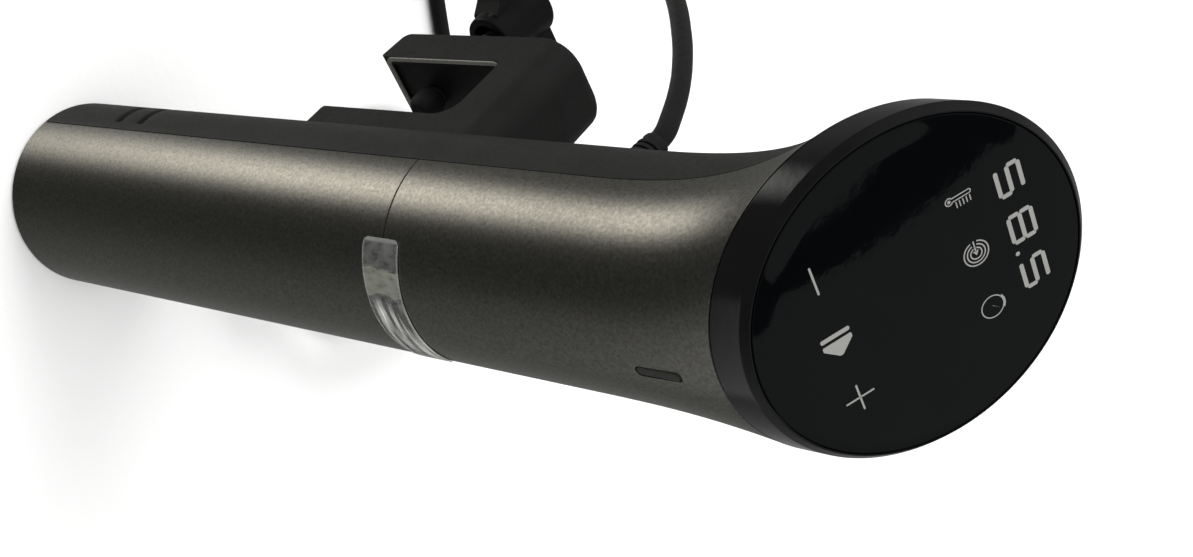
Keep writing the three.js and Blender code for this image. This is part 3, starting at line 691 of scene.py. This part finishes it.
def slab(name, outer, inner):
    """A closed solid between two equal grids of points."""
    rows, columns = len(outer), len(outer[0])
    points = [p for row in outer for p in row] + [p for row in inner for p in row]
    shift = rows * columns
    faces = []
    for i in range(rows - 1):
        for k in range(columns - 1):
            a = i * columns + k
            quad = (a, a + 1, a + columns + 1, a + columns)
            faces.append(quad)
            faces.append(tuple(shift + c for c in reversed(quad)))
    border = list(range(columns))
    border += [(i + 1) * columns - 1 for i in range(1, rows)]
    border += [(rows - 1) * columns + k for k in range(columns - 2, -1, -1)]
    border += [i * columns for i in range(rows - 2, 0, -1)]
    for a, b in zip(border, border[1:] + border[:1]):
        faces.append((b, a, shift + a, shift + b))
    return new_mesh(name, points, faces)


def upper_front_shell():
    low = SEAM_Z + GAP / 2
    made = slab("front_shell_upper", *[skin_grid(True, inset, low, 16) for inset in (0, METAL_WALL)])
    half = SLOT_WIDTH / 2 + GAP
    slot = prism("slot_cutter", rounded_box(-half, half, SLOT_LOW - GAP, SLOT_HIGH + GAP, half - 0.01),
                 -BODY_RADIUS - 5, -BODY_RADIUS + 6, "Y")
    carve(made, slot)
    soften(made, 0.09, 2, 50)
    show(made, "metal_shell", "upper_front_shell")


def skirt_shell():
    rows = 40
    top = SEAM_Z - GAP / 2
    heights = [FOOT, FOOT + EDGE_ROW] + [FOOT + (top - FOOT) * i / rows for i in range(1, rows)]
    heights += [top - EDGE_ROW, top]
    grids = []
    for inset in (0, METAL_WALL):
        radius = BODY_RADIUS - inset
        ring = round_points(0, 0, radius, half_circle(True, radius))
        grids.append([[(x, y, height) for x, y in ring] for height in heights])
    made = slab("front_shell_skirt", *grids)
    soften(made, 0.09, 2, 50)
    show(made, "metal_shell", "skirt_shell", body="skirt")


def vent_cutters():
    """Two slanted water slots on each side of the rear shell."""
    half = VENT_HEIGHT / 2
    corners = [(3.6, -half), (26.0, -half), (26.0, half), (3.6, half)]
    tools = []
    for low in VENT_LOWS:
        outline = fillet([(y, low + VENT_SLOPE * y + side, 1.0) for y, side in corners])
        tools.append(prism("vent_left", outline, -BODY_RADIUS - 2, -12, "X"))
        tools.append(prism("vent_right", outline, 12, BODY_RADIUS + 2, "X"))
    return tools


def rear_shell():
    made = slab("back_shell", *[skin_grid(False, inset, FOOT, 44) for inset in (0, PLASTIC_WALL)])
    carve(made, *vent_cutters())
    soften(made, 0.25, 2, 50)
    show(made, "rear_plastic", "rear_shell")


def guide_strips():
    """Strips of the rear shell that reach behind the edges of the front shells."""
    outer, thickness = BODY_RADIUS - METAL_WALL - GAP, 1.6
    low_turn, high_turn = -3.0 / outer, 2.5 / outer
    turns = [low_turn + (high_turn - low_turn) * k / 8 for k in range(9)]
    heights = [9 + (FLARE_START - 13) * i / 30 for i in range(31)]
    for name, side in (("guide_strip_left", -1), ("guide_strip_right", 1)):
        grids = []
        for radius in (outer, outer - thickness):
            ring = round_points(0, 0, radius, turns)
            grids.append([[(side * x, y, height) for x, y in ring] for height in heights])
        show(slab(name, *grids), "rear_plastic")


def end_cap():
    """Flat foot with a ring of inlet slots."""
    radius = BODY_RADIUS - PLASTIC_WALL - GAP
    profile = fillet([(0, 0, 0), (radius, 0, 0.9), (radius, 7, 0.3), (radius - 2, 7, 0.3),
                      (radius - 2, 3, 0.5), (0, 3, 0)], closed=False)
    made = turned("foot_cap", profile, 96, upright())
    tools = []
    slot_count = 8
    for i in range(slot_count):
        tool = prism("inlet_cutter", rounded_box(14, 24, -1.7, 1.7, 1.6), -1, 5, "Z")
        tool.data.transform(Matrix.Rotation(2 * pi * (i + 0.5) / slot_count, 4, "Z"))
        tools.append(tool)
    carve(made, *tools)
    soften(made, 0.2, 2, 50)
    show(made, "rear_plastic", "end_cap", weighted=True)


upper_front_shell()
skirt_shell()
rear_shell()
guide_strips()
end_cap()


# ---------- head ----------

POCKET_DEPTH = 2.4
LEDGE_RADIUS = 40.0
GLASS_FACE = SHOULDER_RISE - 0.1
PRINT_LOW = GLASS_FACE - 0.06
PRINT_HIGH = GLASS_FACE + 0.03
SEGMENTS = {"5": "afgcd", "8": "abcdefg"}


def display_bezel():
    pocket = GLASS_RADIUS + GAP
    ledge = SHOULDER_RISE - POCKET_DEPTH
    profile = fillet([(LEDGE_RADIUS, -BEZEL_HEIGHT, 0.2), (HEAD_RADIUS, -BEZEL_HEIGHT, 0.3),
                      (HEAD_RADIUS, 0, 0.45), (pocket + 0.3, SHOULDER_RISE, 0.25),
                      (pocket, SHOULDER_RISE - 0.15, 0.1), (pocket, ledge, 0.2),
                      (LEDGE_RADIUS, ledge, 0.2)], step=radians(15))
    made = turned("head_ring", profile, 192, leaned)
    show(made, "bezel_gloss", "display_bezel", crease=60, weighted=True)


def display_glass():
    under = SHOULDER_RISE - POCKET_DEPTH + GAP
    profile = fillet([(0, under, 0), (GLASS_RADIUS, under, 0.2), (GLASS_RADIUS, GLASS_FACE, 0.3),
                      (GLASS_RADIUS - 6, GLASS_FACE, 0), (0, GLASS_FACE, 0)], closed=False, step=radians(15))
    made = turned("touch_glass", profile, 192, leaned)
    show(made, "display_glass", "display_glass", crease=60)


def display_seal():
    profile = fillet([(39.2, -10.4, 0.4), (41.2, -10.4, 0.4), (41.2, -BEZEL_HEIGHT - GAP, 0.4),
                      (39.2, -BEZEL_HEIGHT - GAP, 0.4)])
    made = turned("head_seal", profile, 96, leaned)
    show(made, "rubber_black", "head_gasket", crease=60)


class Printing:
    """Flat printed marks on the glass, gathered into one mesh. u runs across the face and v up its slope."""

    def __init__(self):
        self.points = []
        self.faces = []

    def patch(self, outline):
        rings = [[leaned(u, v, h) for u, v in outline] for h in (PRINT_LOW, PRINT_HIGH)]
        points, faces = between_rings(rings)
        first = len(self.points)
        self.points += points
        self.faces += [tuple(first + c for c in face) for face in faces]

    def bar(self, u0, v0, u1, v1, width):
        """A straight stroke with round ends."""
        along = Vector((u1 - u0, v1 - v0)).normalized()
        turn = atan2(along.y, along.x)
        outline = []
        for centre, start in (((u1, v1), turn - pi / 2), ((u0, v0), turn + pi / 2)):
            outline += round_points(*centre, width / 2, [start + pi * k / 8 for k in range(9)])
        self.patch(outline)

    def arc(self, u, v, radius, width, start=0.0, end=360.0):
        """A stroke along part of a circle, or a whole ring in two halves."""
        if end - start > 359:
            self.arc(u, v, radius, width, start, start + 180)
            self.arc(u, v, radius, width, start + 180, end)
            return
        steps = max(6, round((end - start) / 6))
        angles = [radians(start + (end - start) * k / steps) for k in range(steps + 1)]
        outer = round_points(u, v, radius + width / 2, angles)
        inner = round_points(u, v, radius - width / 2, angles)
        for i in range(steps):
            self.patch([outer[i], outer[i + 1], inner[i + 1], inner[i]])

    def dot(self, u, v, radius):
        self.patch(round_points(u, v, radius, [k * pi / 12 for k in range(24)]))


def print_keys(mark):
    """Minus, play-pause and plus, in a row low on the face."""
    row = -22.9
    half = 3.9
    mark.bar(-22.2, row, -14.8, row, 0.55)
    mark.bar(14.2, row + 0.4, 21.6, row + 0.4, 0.5)
    mark.bar(17.9, row + 4.1, 17.9, row - 3.3, 0.5)
    mark.patch(fillet([(-2.7, row - half, 0.5), (-1.5, row - half, 0.5), (-1.5, row + half, 0.5),
                       (-2.7, row + half, 0.5)]))
    mark.patch(fillet([(-0.6, row - half, 0.4), (0.6, row - half, 0.5), (3.9, row - 0.4, 0.4),
                       (3.9, row + 0.4, 0.4), (0.6, row + half, 0.5), (-0.6, row + half, 0.4)]))


def print_thermometer(mark):
    u, v = -17.75, 13.1
    line = 0.3
    mark.arc(u, v, 0.95, line, 120, 420)
    mark.dot(u, v, 0.45)
    for side in (-0.5, 0.5):
        mark.bar(u + side, v + 0.85, u + side, v + 5.3, line)
    mark.arc(u, v + 5.3, 0.5, line, 0, 180)
    for i in range(5):
        mark.bar(u + 1.1, v + 1.6 + i * 0.92, u + 2.5, v + 1.6 + i * 0.92, line)


def print_start(mark):
    """Rings that open to the left, where a pointer comes in."""
    u, v = -0.9, 15.8
    line = 0.34
    for radius in (1.5, 2.4, 3.3):
        mark.arc(u, v, radius, line, -165, 165)
    mark.bar(u - 3.4, v, u - 0.4, v, line)
    mark.patch([(u - 0.7, v - 0.8), (u + 0.6, v), (u - 0.7, v + 0.8)])


def print_clock(mark):
    u, v = 15.75, 15.8
    mark.arc(u, v, 3.05, 0.3)
    mark.arc(u, v + 0.25, 3.15, 0.35, 55, 125)
    mark.patch([(u - 0.5, v - 0.2), (u + 1.4, v + 1.75), (u - 0.1, v + 0.3)])


def print_number(mark, digits, u, v, width, height, stroke, pitch):
    """A plain seven-segment number centred on u, v."""
    inset = stroke * 0.5
    half = height / 2
    gap = stroke * 0.6
    left = u - pitch * (len(digits.replace(".", "")) - 1) / 2
    place = 0
    for digit in digits:
        middle = left + place * pitch
        if digit == ".":
            mark.dot(middle - pitch / 2, v - half + inset, stroke * 0.5)
            continue
        west, east = middle - width / 2 + inset, middle + width / 2 - inset
        low, high = v - half + inset, v + half - inset
        strokes = {
            "a": (west + gap, high, east - gap, high), "g": (west + gap, v, east - gap, v),
            "d": (west + gap, low, east - gap, low), "f": (west, v + gap, west, high - gap),
            "b": (east, v + gap, east, high - gap), "e": (west, low + gap, west, v - gap),
            "c": (east, low + gap, east, v - gap),
        }
        for name in SEGMENTS[digit]:
            mark.bar(*strokes[name], stroke)
        place += 1


def display_symbols():
    mark = Printing()
    print_keys(mark)
    print_thermometer(mark)
    print_start(mark)
    print_clock(mark)
    print_number(mark, "58.5", -0.9, 28.7, 8.6, 7.3, 1.15, 13.6)
    made = new_mesh("touch_symbols", mark.points, mark.faces)
    show(made, "light_plastic", material=PRINT_GREY)


def indicator_lens():
    """Dark grey pill in the front slot, its face curved like the shell."""
    half = SLOT_WIDTH / 2
    made = prism("slot_lens", rounded_box(-half, half, SLOT_LOW, SLOT_HIGH, half - 0.01),
                 -BODY_RADIUS + 0.15, -BODY_RADIUS + 2.4, "Y")
    for corner in made.data.vertices:
        climb = (corner.co.z / MM - FLARE_START) / (HEAD_Z - BEZEL_HEIGHT - FLARE_START)
        lean = max(0.0, climb) ** FLARE_POWER
        corner.co.y += lean * (flare_point(radians(-90), 1, 0)[1] + BODY_RADIUS) * MM * 0.6
    soften(made, 0.3, 3)
    show(made, "lens_grey", "indicator_lens")


def film_label():
    """Thin film round the front, across the level seam, with rounded corners at its ends."""
    start, end = radians(-135.2), radians(-54)
    corner, lift, thickness = 2.2, 0.2, 0.22
    columns, rows = 120, 20
    turns = [start + (end - start) * ease(k / columns) for k in range(columns + 1)]
    grids = []
    for radius in (BODY_RADIUS + lift + thickness, BODY_RADIUS + lift):
        grid = [[] for i in range(rows + 1)]
        for turn, (x, y) in zip(turns, round_points(0, 0, radius, turns)):
            from_end = min(turn - start, end - turn, corner / radius) * radius
            pull = corner - sqrt(max(0.0, corner ** 2 - (corner - from_end) ** 2))
            low, high = FILM_LOW + pull, FILM_HIGH - pull
            for i, row in enumerate(grid):
                row.append((x, y, low + (high - low) * i / rows))
        grids.append(grid)
    made = slab("film_strip", *grids)
    show(made, "clear_film", "film_label", body="skirt")


display_bezel()
display_glass()
display_seal()
display_symbols()
indicator_lens()
film_label()


# ---------- clamp ----------

GRIP_POCKET = 1.2
GRIP_HALF_WIDTH = 11.0
GRIP_LOW = 103.0
GRIP_HIGH = 149.0


def bracket_plan():
    """Envelope of the bracket up to the arm's outer face, where its right and upper edges are rounded."""
    edge, steps = 5.0, 6
    past_face = 0.02
    plans = [(0.0, 0.0)]
    for k in range(steps + 1):
        turn = pi / 2 * k / steps
        plans.append((ARM_OUTER - edge + past_face + edge * sin(turn), edge * (1 - cos(turn))))
    half = BRACKET_HALF_WIDTH
    rings = []
    for y, inset in plans:
        outline = rounded_box(-half, half - inset, BRACKET_LOW, BRACKET_HIGH - inset, 3, 10)
        rings.append([(x, y, z) for x, z in outline])
    return new_mesh("bracket_plan", *between_rings(rings))


def clamp_bracket():
    """Foot on the rear shell, end wall and arm round the pot notch, the arm with a sunk panel inside."""
    side = [(15, BRACKET_LOW, 0), (FOOT_TOP - 1.5, BRACKET_LOW + 0.5, 1.0), (FOOT_TOP, BRACKET_LOW + 3, 1.5),
            (FOOT_TOP, BRIDGE_LOW, 8), (ARM_INNER, BRIDGE_LOW, 2.0), (ARM_INNER, ARM_LOW, 1.2),
            (ARM_OUTER, ARM_LOW + 1, 3), (ARM_OUTER, BRACKET_HIGH, 5), (15, BRACKET_HIGH, 0)]
    made = prism("pot_bracket", fillet(side), -BRACKET_HALF_WIDTH, BRACKET_HALF_WIDTH, "X")
    carve(made, bracket_plan(), how="INTERSECT")
    seat = rod("body_seat", BODY_RADIUS + GAP, 60, 220, 128, upright())
    bore = rod("screw_bore", SCREW_RADIUS + GAP, 60, 90, 48, along_y(0, SCREW_Z))
    grip = prism("grip_cutter", rounded_box(-GRIP_HALF_WIDTH, GRIP_HALF_WIDTH, GRIP_LOW, GRIP_HIGH, 2),
                 FOOT_TOP - GRIP_POCKET, FOOT_TOP + 5, "Y")
    panel_half = BRACKET_HALF_WIDTH - 3.2
    panel = prism("arm_panel", rounded_box(-panel_half, panel_half, ARM_LOW + 2.4, BRIDGE_LOW - 2.6, 2.5),
                  ARM_INNER - 4, ARM_INNER + 1.1, "Y")
    carve(made, seat, bore, grip, panel)
    soften(made, 0.55, 3, 30)
    show(made, "clamp_plastic", "clamp_bracket", weighted=True)


def arm_lip():
    """Thin glossy lip round the sunk panel inside the arm, its pale colour a painted highlight along the
    rim.
    """
    half = BRACKET_HALF_WIDTH - 0.2
    low, high = ARM_LOW + 1.6, BRIDGE_LOW - 0.4
    outer = rounded_box(-half, half, low, high, 3.4)
    made = prism("panel_lip", outer, ARM_INNER - 0.5, ARM_INNER + 0.35, "Y")
    inner = rounded_box(-half + 1.6, half - 1.6, low + 1.6, high - 1.6, 2.2)
    carve(made, prism("lip_opening", inner, ARM_INNER - 2, ARM_INNER + 2, "Y"))
    soften(made, 0.3, 3, 40)
    # The lip's pale material is a painted highlight, not the clamp's own colour.
    show(made, "clamp_plastic", material=LIP_PAINTED_HIGHLIGHT, weighted=True)


def grip_pad():
    """Ribbed rubber pad let into the bracket's foot."""
    half = GRIP_HALF_WIDTH - GAP
    low, high = GRIP_LOW + GAP, GRIP_HIGH - GAP
    base_face = FOOT_TOP - 0.1
    base = rounded_box(-half, half, low, high, 2)
    made = prism("foot_grip", base, FOOT_TOP - GRIP_POCKET + GAP, base_face, "Y")
    rib_count = 13
    pitch = (high - low - 4) / (rib_count - 1)
    ribs = []
    for i in range(rib_count):
        middle = low + 2 + i * pitch
        outline = fillet([(base_face - 0.3, middle - 0.9, 0), (base_face - 0.3, middle + 0.9, 0),
                          (FOOT_TOP + 0.6, middle + 0.7, 0.35), (FOOT_TOP + 0.6, middle - 0.7, 0.35)])
        ribs.append(prism("grip_rib", outline, -half + 1.2, half - 1.2, "X"))
    carve(made, *ribs, how="UNION")
    show(made, "rubber_black", "grip_pad")


def pressure_pad():
    """Swivel foot of the clamp screw: a domed rubber face on a short sleeve."""
    back = ARM_INNER - 0.7
    socket = SCREW_RADIUS + GAP
    floor_y = PAD_FACE + 3 - GAP
    profile = fillet([(0, PAD_FACE, 0), (3.2, PAD_FACE, 2.2), (5, PAD_FACE + 2.4, 2.0),
                      (5, back - 1.8, 0.4), (4.6, back, 0.3), (socket, back, 0.2),
                      (socket, floor_y, 0.2), (0, floor_y, 0)], closed=False)
    made = turned("screw_pad", profile, 64, along_y(0, SCREW_Z))
    show(made, "rubber_black", "pressure_pad", body="pad", crease=60)


def clamp_screw():
    """Coarse rolled thread, one turn every pitch, running out at both ends."""
    tip = PAD_FACE + 3
    end = KNOB_MOUTH + 14
    facets = 40
    row_step = 0.2
    thread_depth = 0.75
    rows = round((end - tip) / row_step)
    rings = []
    for i in range(rows + 1):
        y = tip + (end - tip) * i / rows
        fade = ease((y - tip - 0.8) / 2.0) * ease((end - 1.0 - y) / 2.0)
        taper = min(0.7, (y - tip) * 0.8, (end - y) * 0.8) - 0.7
        ring = []
        for k in range(facets):
            angle = 2 * pi * k / facets
            phase = (y / SCREW_PITCH + k / facets) % 1.0
            groove = ease(abs(phase - 0.5) * 2.6 - 0.15)
            radius = SCREW_RADIUS + taper - thread_depth * groove * fade
            ring.append((radius * cos(angle), y, SCREW_Z + radius * sin(angle)))
        rings.append(ring)
    made = new_mesh("thread_rod", *between_rings(rings))
    show(made, "dark_steel", "clamp_screw", body="screw", crease=60)


def clamp_knob():
    """Two-winged knob on a hollow-mouthed hub, made with its wings upright and then turned a quarter."""
    reach, tip, half_thick = 28.0, 5.0, 5.5
    root = KNOB_MOUTH + 3
    far = KNOB_TOP - 1
    near = far - 2 * tip
    wing = [(root, SCREW_Z - 8.4, 1.5), (root, SCREW_Z + 8.4, 1.5), (root + 6.5, SCREW_Z + 13.5, 9),
            (near, SCREW_Z + reach, 4.9), (far, SCREW_Z + reach, 4.9), (far, SCREW_Z - reach, 4.9),
            (near, SCREW_Z - reach, 4.9), (root + 6.5, SCREW_Z - 13.5, 9)]
    made = prism("wing_knob", fillet(wing), -half_thick, half_thick, "X")
    hub_profile = fillet([(0, KNOB_MOUTH, 0), (9, KNOB_MOUTH, 0.8), (9.4, KNOB_MOUTH + 4, 3),
                          (11.4, KNOB_TOP, 2.2), (0, KNOB_TOP, 0)], closed=False)
    hub = turned("knob_hub", hub_profile, 96, along_y(0, SCREW_Z))
    carve(made, hub, how="UNION")
    bore = SCREW_RADIUS + GAP
    bore_end = KNOB_MOUTH + 14 + GAP
    hollow_profile = [(0, KNOB_MOUTH - 1), (6.6, KNOB_MOUTH - 1), (6.1, KNOB_MOUTH + 8),
                      (bore, KNOB_MOUTH + 8), (bore, bore_end), (0, bore_end)]
    carve(made, turned("knob_hollow", hollow_profile, 64, along_y(0, SCREW_Z)))
    grooves = []
    for end_side in (-1, 1):
        for i, start in enumerate((3.2, 3.2, 3.2, 4.4)):
            z = SCREW_Z + end_side * (16.5 + i * 2.6)
            for face in (-half_thick, half_thick):
                outline = rounded_box(face - 0.5, face + 0.5, z - 0.55, z + 0.55, 0.4)
                grooves.append(prism("wing_groove", outline, near + start, far - 1.8, "Y"))
    carve(made, *grooves)
    soften(made, 0.7, 3, 40)
    for corner in made.data.vertices:
        x, rise = corner.co.x, corner.co.z - SCREW_Z * MM
        corner.co.x, corner.co.z = rise, SCREW_Z * MM - x
    show(made, "knob_plastic", "clamp_knob", body="screw", weighted=True)


clamp_bracket()
arm_lip()
grip_pad()
pressure_pad()
clamp_screw()
clamp_knob()


# ---------- wet end, seen when the skirt is off ----------

HEATER_RADIUS = 22.0
HEATER_TUBE = 2.6
SEAL_HIGH = 110.0


def heater_coil():
    """Bent heating element: a helix round the impeller shaft and its leg up to the seal plate."""
    turns, steps_per_turn = 3.5, 24
    low, high = 38.0, 76.0
    points = [(HEATER_RADIUS, 0, SEAL_HIGH + 6), (HEATER_RADIUS, 0, 99), (HEATER_RADIUS, 0, high + 12)]
    steps = round(turns * steps_per_turn)
    for i in range(1, steps + 1):
        share = i / steps
        x, y = round_points(0, 0, HEATER_RADIUS, [share * turns * 2 * pi])[0]
        points.append((x, y, high + (low - high) * share))
    tube("heater_element", points, HEATER_TUBE, "steel", "heater_coil", ring_steps=4, knot_steps=3)


def sensor_rods():
    for name, x, y, radius, low in (("temperature_probe", -8, 9, 2.0, 34), ("level_rod_long", 8, 9, 1.5, 40),
                                    ("level_rod_short", 0, 12.5, 1.5, 74)):
        profile = fillet([(0, low, 0), (radius * 0.9, low + 0.1, radius * 0.6), (radius, low + 2, 0.5),
                          (radius, SEAL_HIGH + 5, 0.3), (0, SEAL_HIGH + 5, 0)], closed=False)
        show(turned(name + "_sheath", profile, 32, upright(x, y)), "steel", name)


def impeller_shaft():
    low, high = [(corner / MM).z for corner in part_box("impeller_shaft")]
    profile = fillet([(0, low, 0), (2, low, 0.5), (2, high, 0.5), (0, high, 0)], closed=False)
    show(turned("drive_shaft", profile, 32, upright()), "steel", "impeller_shaft", body="rotor")


heater_coil()
sensor_rods()
impeller_shaft()


# ---------- carried-over nodes ----------

def dress_frame():
    """Every CAD node that still shows gets its slot's material and a softer edge."""
    slots = {row["node"]: row["material_slot"] for row in frame["record"]["subparts"]}
    for name, node in frame["nodes"].items():
        if node.hide_render:
            continue
        node.data.materials.clear()
        node.data.materials.append(MATERIALS[slots[name]])
        add_bevel(node, 0.25, 2, 50)


dress_frame()


# ---------- studio ----------

def floor():
    size = 20.0
    data = bpy.data.meshes.new("floor")
    corners = [(-size, -size, 0), (size, -size, 0), (size, size, 0), (-size, size, 0)]
    data.from_pydata(corners, [], [(0, 1, 2, 3)])
    data.materials.append(surface("floor_paper", (0.86, 0.86, 0.855), 0.8, 3.0, 0.05, spread=0.01,
                                  blotch=200.0, specular=0.2))
    made = placed("floor", data)
    made.location.z = -0.0003
    made.visible_glossy = False


def sun(name, strength, spread, towards):
    """A soft distant lamp that shiny surfaces don't mirror."""
    data = bpy.data.lights.new(name, "SUN")
    data.energy = strength
    data.angle = radians(spread)
    lamp = placed(name, data)
    lamp.rotation_mode = "QUATERNION"
    lamp.rotation_quaternion = Vector(towards).to_track_quat("-Z", "Y")
    lamp.visible_glossy = False


def heading(turn, rise):
    """A direction by its turn, from the front left towards the back left, and its rise, in degrees."""
    facing = Vector((-0.731, -0.682, 0))
    side = Vector((-0.682, 0.731, 0))
    flat = facing * cos(radians(turn)) + side * sin(radians(turn))
    up = radians(rise)
    return flat * cos(up) + Vector((0, 0, sin(up)))


def sky():
    """What shiny surfaces mirror: a dim room with a paler ceiling and one long warm strip low on the left.

    Behind are two faint fills, on the right a low dim wall. The glass mirrors a dark zone of the ceiling
    with two curved borders. Each step says where along an axis a change starts and ends.
    """
    strip_light, wall_light = 2.85, 0.22
    dark_zone = 0.9
    world = bpy.data.worlds.new("studio")
    bpy.context.scene.world = world
    world.use_nodes = True
    world.cycles.sampling_method = "NONE"
    tree = world.node_tree
    direction = add_node(tree, "TexCoord", {}).outputs["Generated"]

    def along(axis):
        inputs = {0: direction, 1: axis}
        return add_node(tree, "VectorMath", inputs, operation="DOT_PRODUCT").outputs["Value"]

    def step(source, start, end, low=0.0, high=1.0):
        return ramp(tree, source, low, high, start, end, "SMOOTHSTEP")

    def chain(how, total, *values):
        for value in values:
            total = maths(tree, how, total, value)
        return total

    rise = along((0, 0, 1))
    steep, shallow = heading(56, -57), heading(45, -44)
    off_strip = maths(tree, "ABSOLUTE", along(steep.cross(shallow).normalized()), 0.0)
    strip = chain("MULTIPLY", step(off_strip, 0.0, 0.27, 1.0, 0.0),
                  step(along((steep + shallow).normalized()), 0.3, 0.6),
                  step(rise, -0.66, -0.50, 1.0, 0.0), step(rise, -0.89, -0.81))
    fill = step(along(heading(-125, -35)), 0.25, 0.95, 0.0, 0.09)
    far_fill = step(along(heading(145, -25)), 0.0, 0.80, 0.0, 0.11)
    wall = chain("MULTIPLY", step(rise, -0.62, -0.56), step(rise, -0.40, -0.25, 1.0, 0.0),
                 step(along(heading(-72, -30)), 0.86, 0.92))
    room = chain("ADD", step(rise, 0.5, 0.7, 0.05, 0.17), chain("ADD", fill, far_fill),
                 chain("MULTIPLY", wall, wall_light))
    shade = chain("MULTIPLY", step(along((0.2863, -0.2479, 0.9255)), 0.9372, 0.9379),
                  step(along((0.4740, -0.2067, 0.8559)), 0.9922, 0.9930, 1.0, 0.0), dark_zone)
    room = chain("MULTIPLY", room, maths(tree, "SUBTRACT", 1.0, shade))
    tint = mixed(tree, strip, (0.98, 1.0, 0.98), (1.0, 0.95, 0.84))
    light = chain("ADD", room, chain("MULTIPLY", strip, strip_light))
    set_inputs(tree, tree.nodes["Background"], {"Strength": light, "Color": tint})


floor()
sun("overhead", 3.3, 80, (0.1, 0.1, -1))
sun("side", 6.0, 50, (0.75, -0.64, -0.15))
sky()
bpy.context.scene.view_settings.view_transform = "Standard"
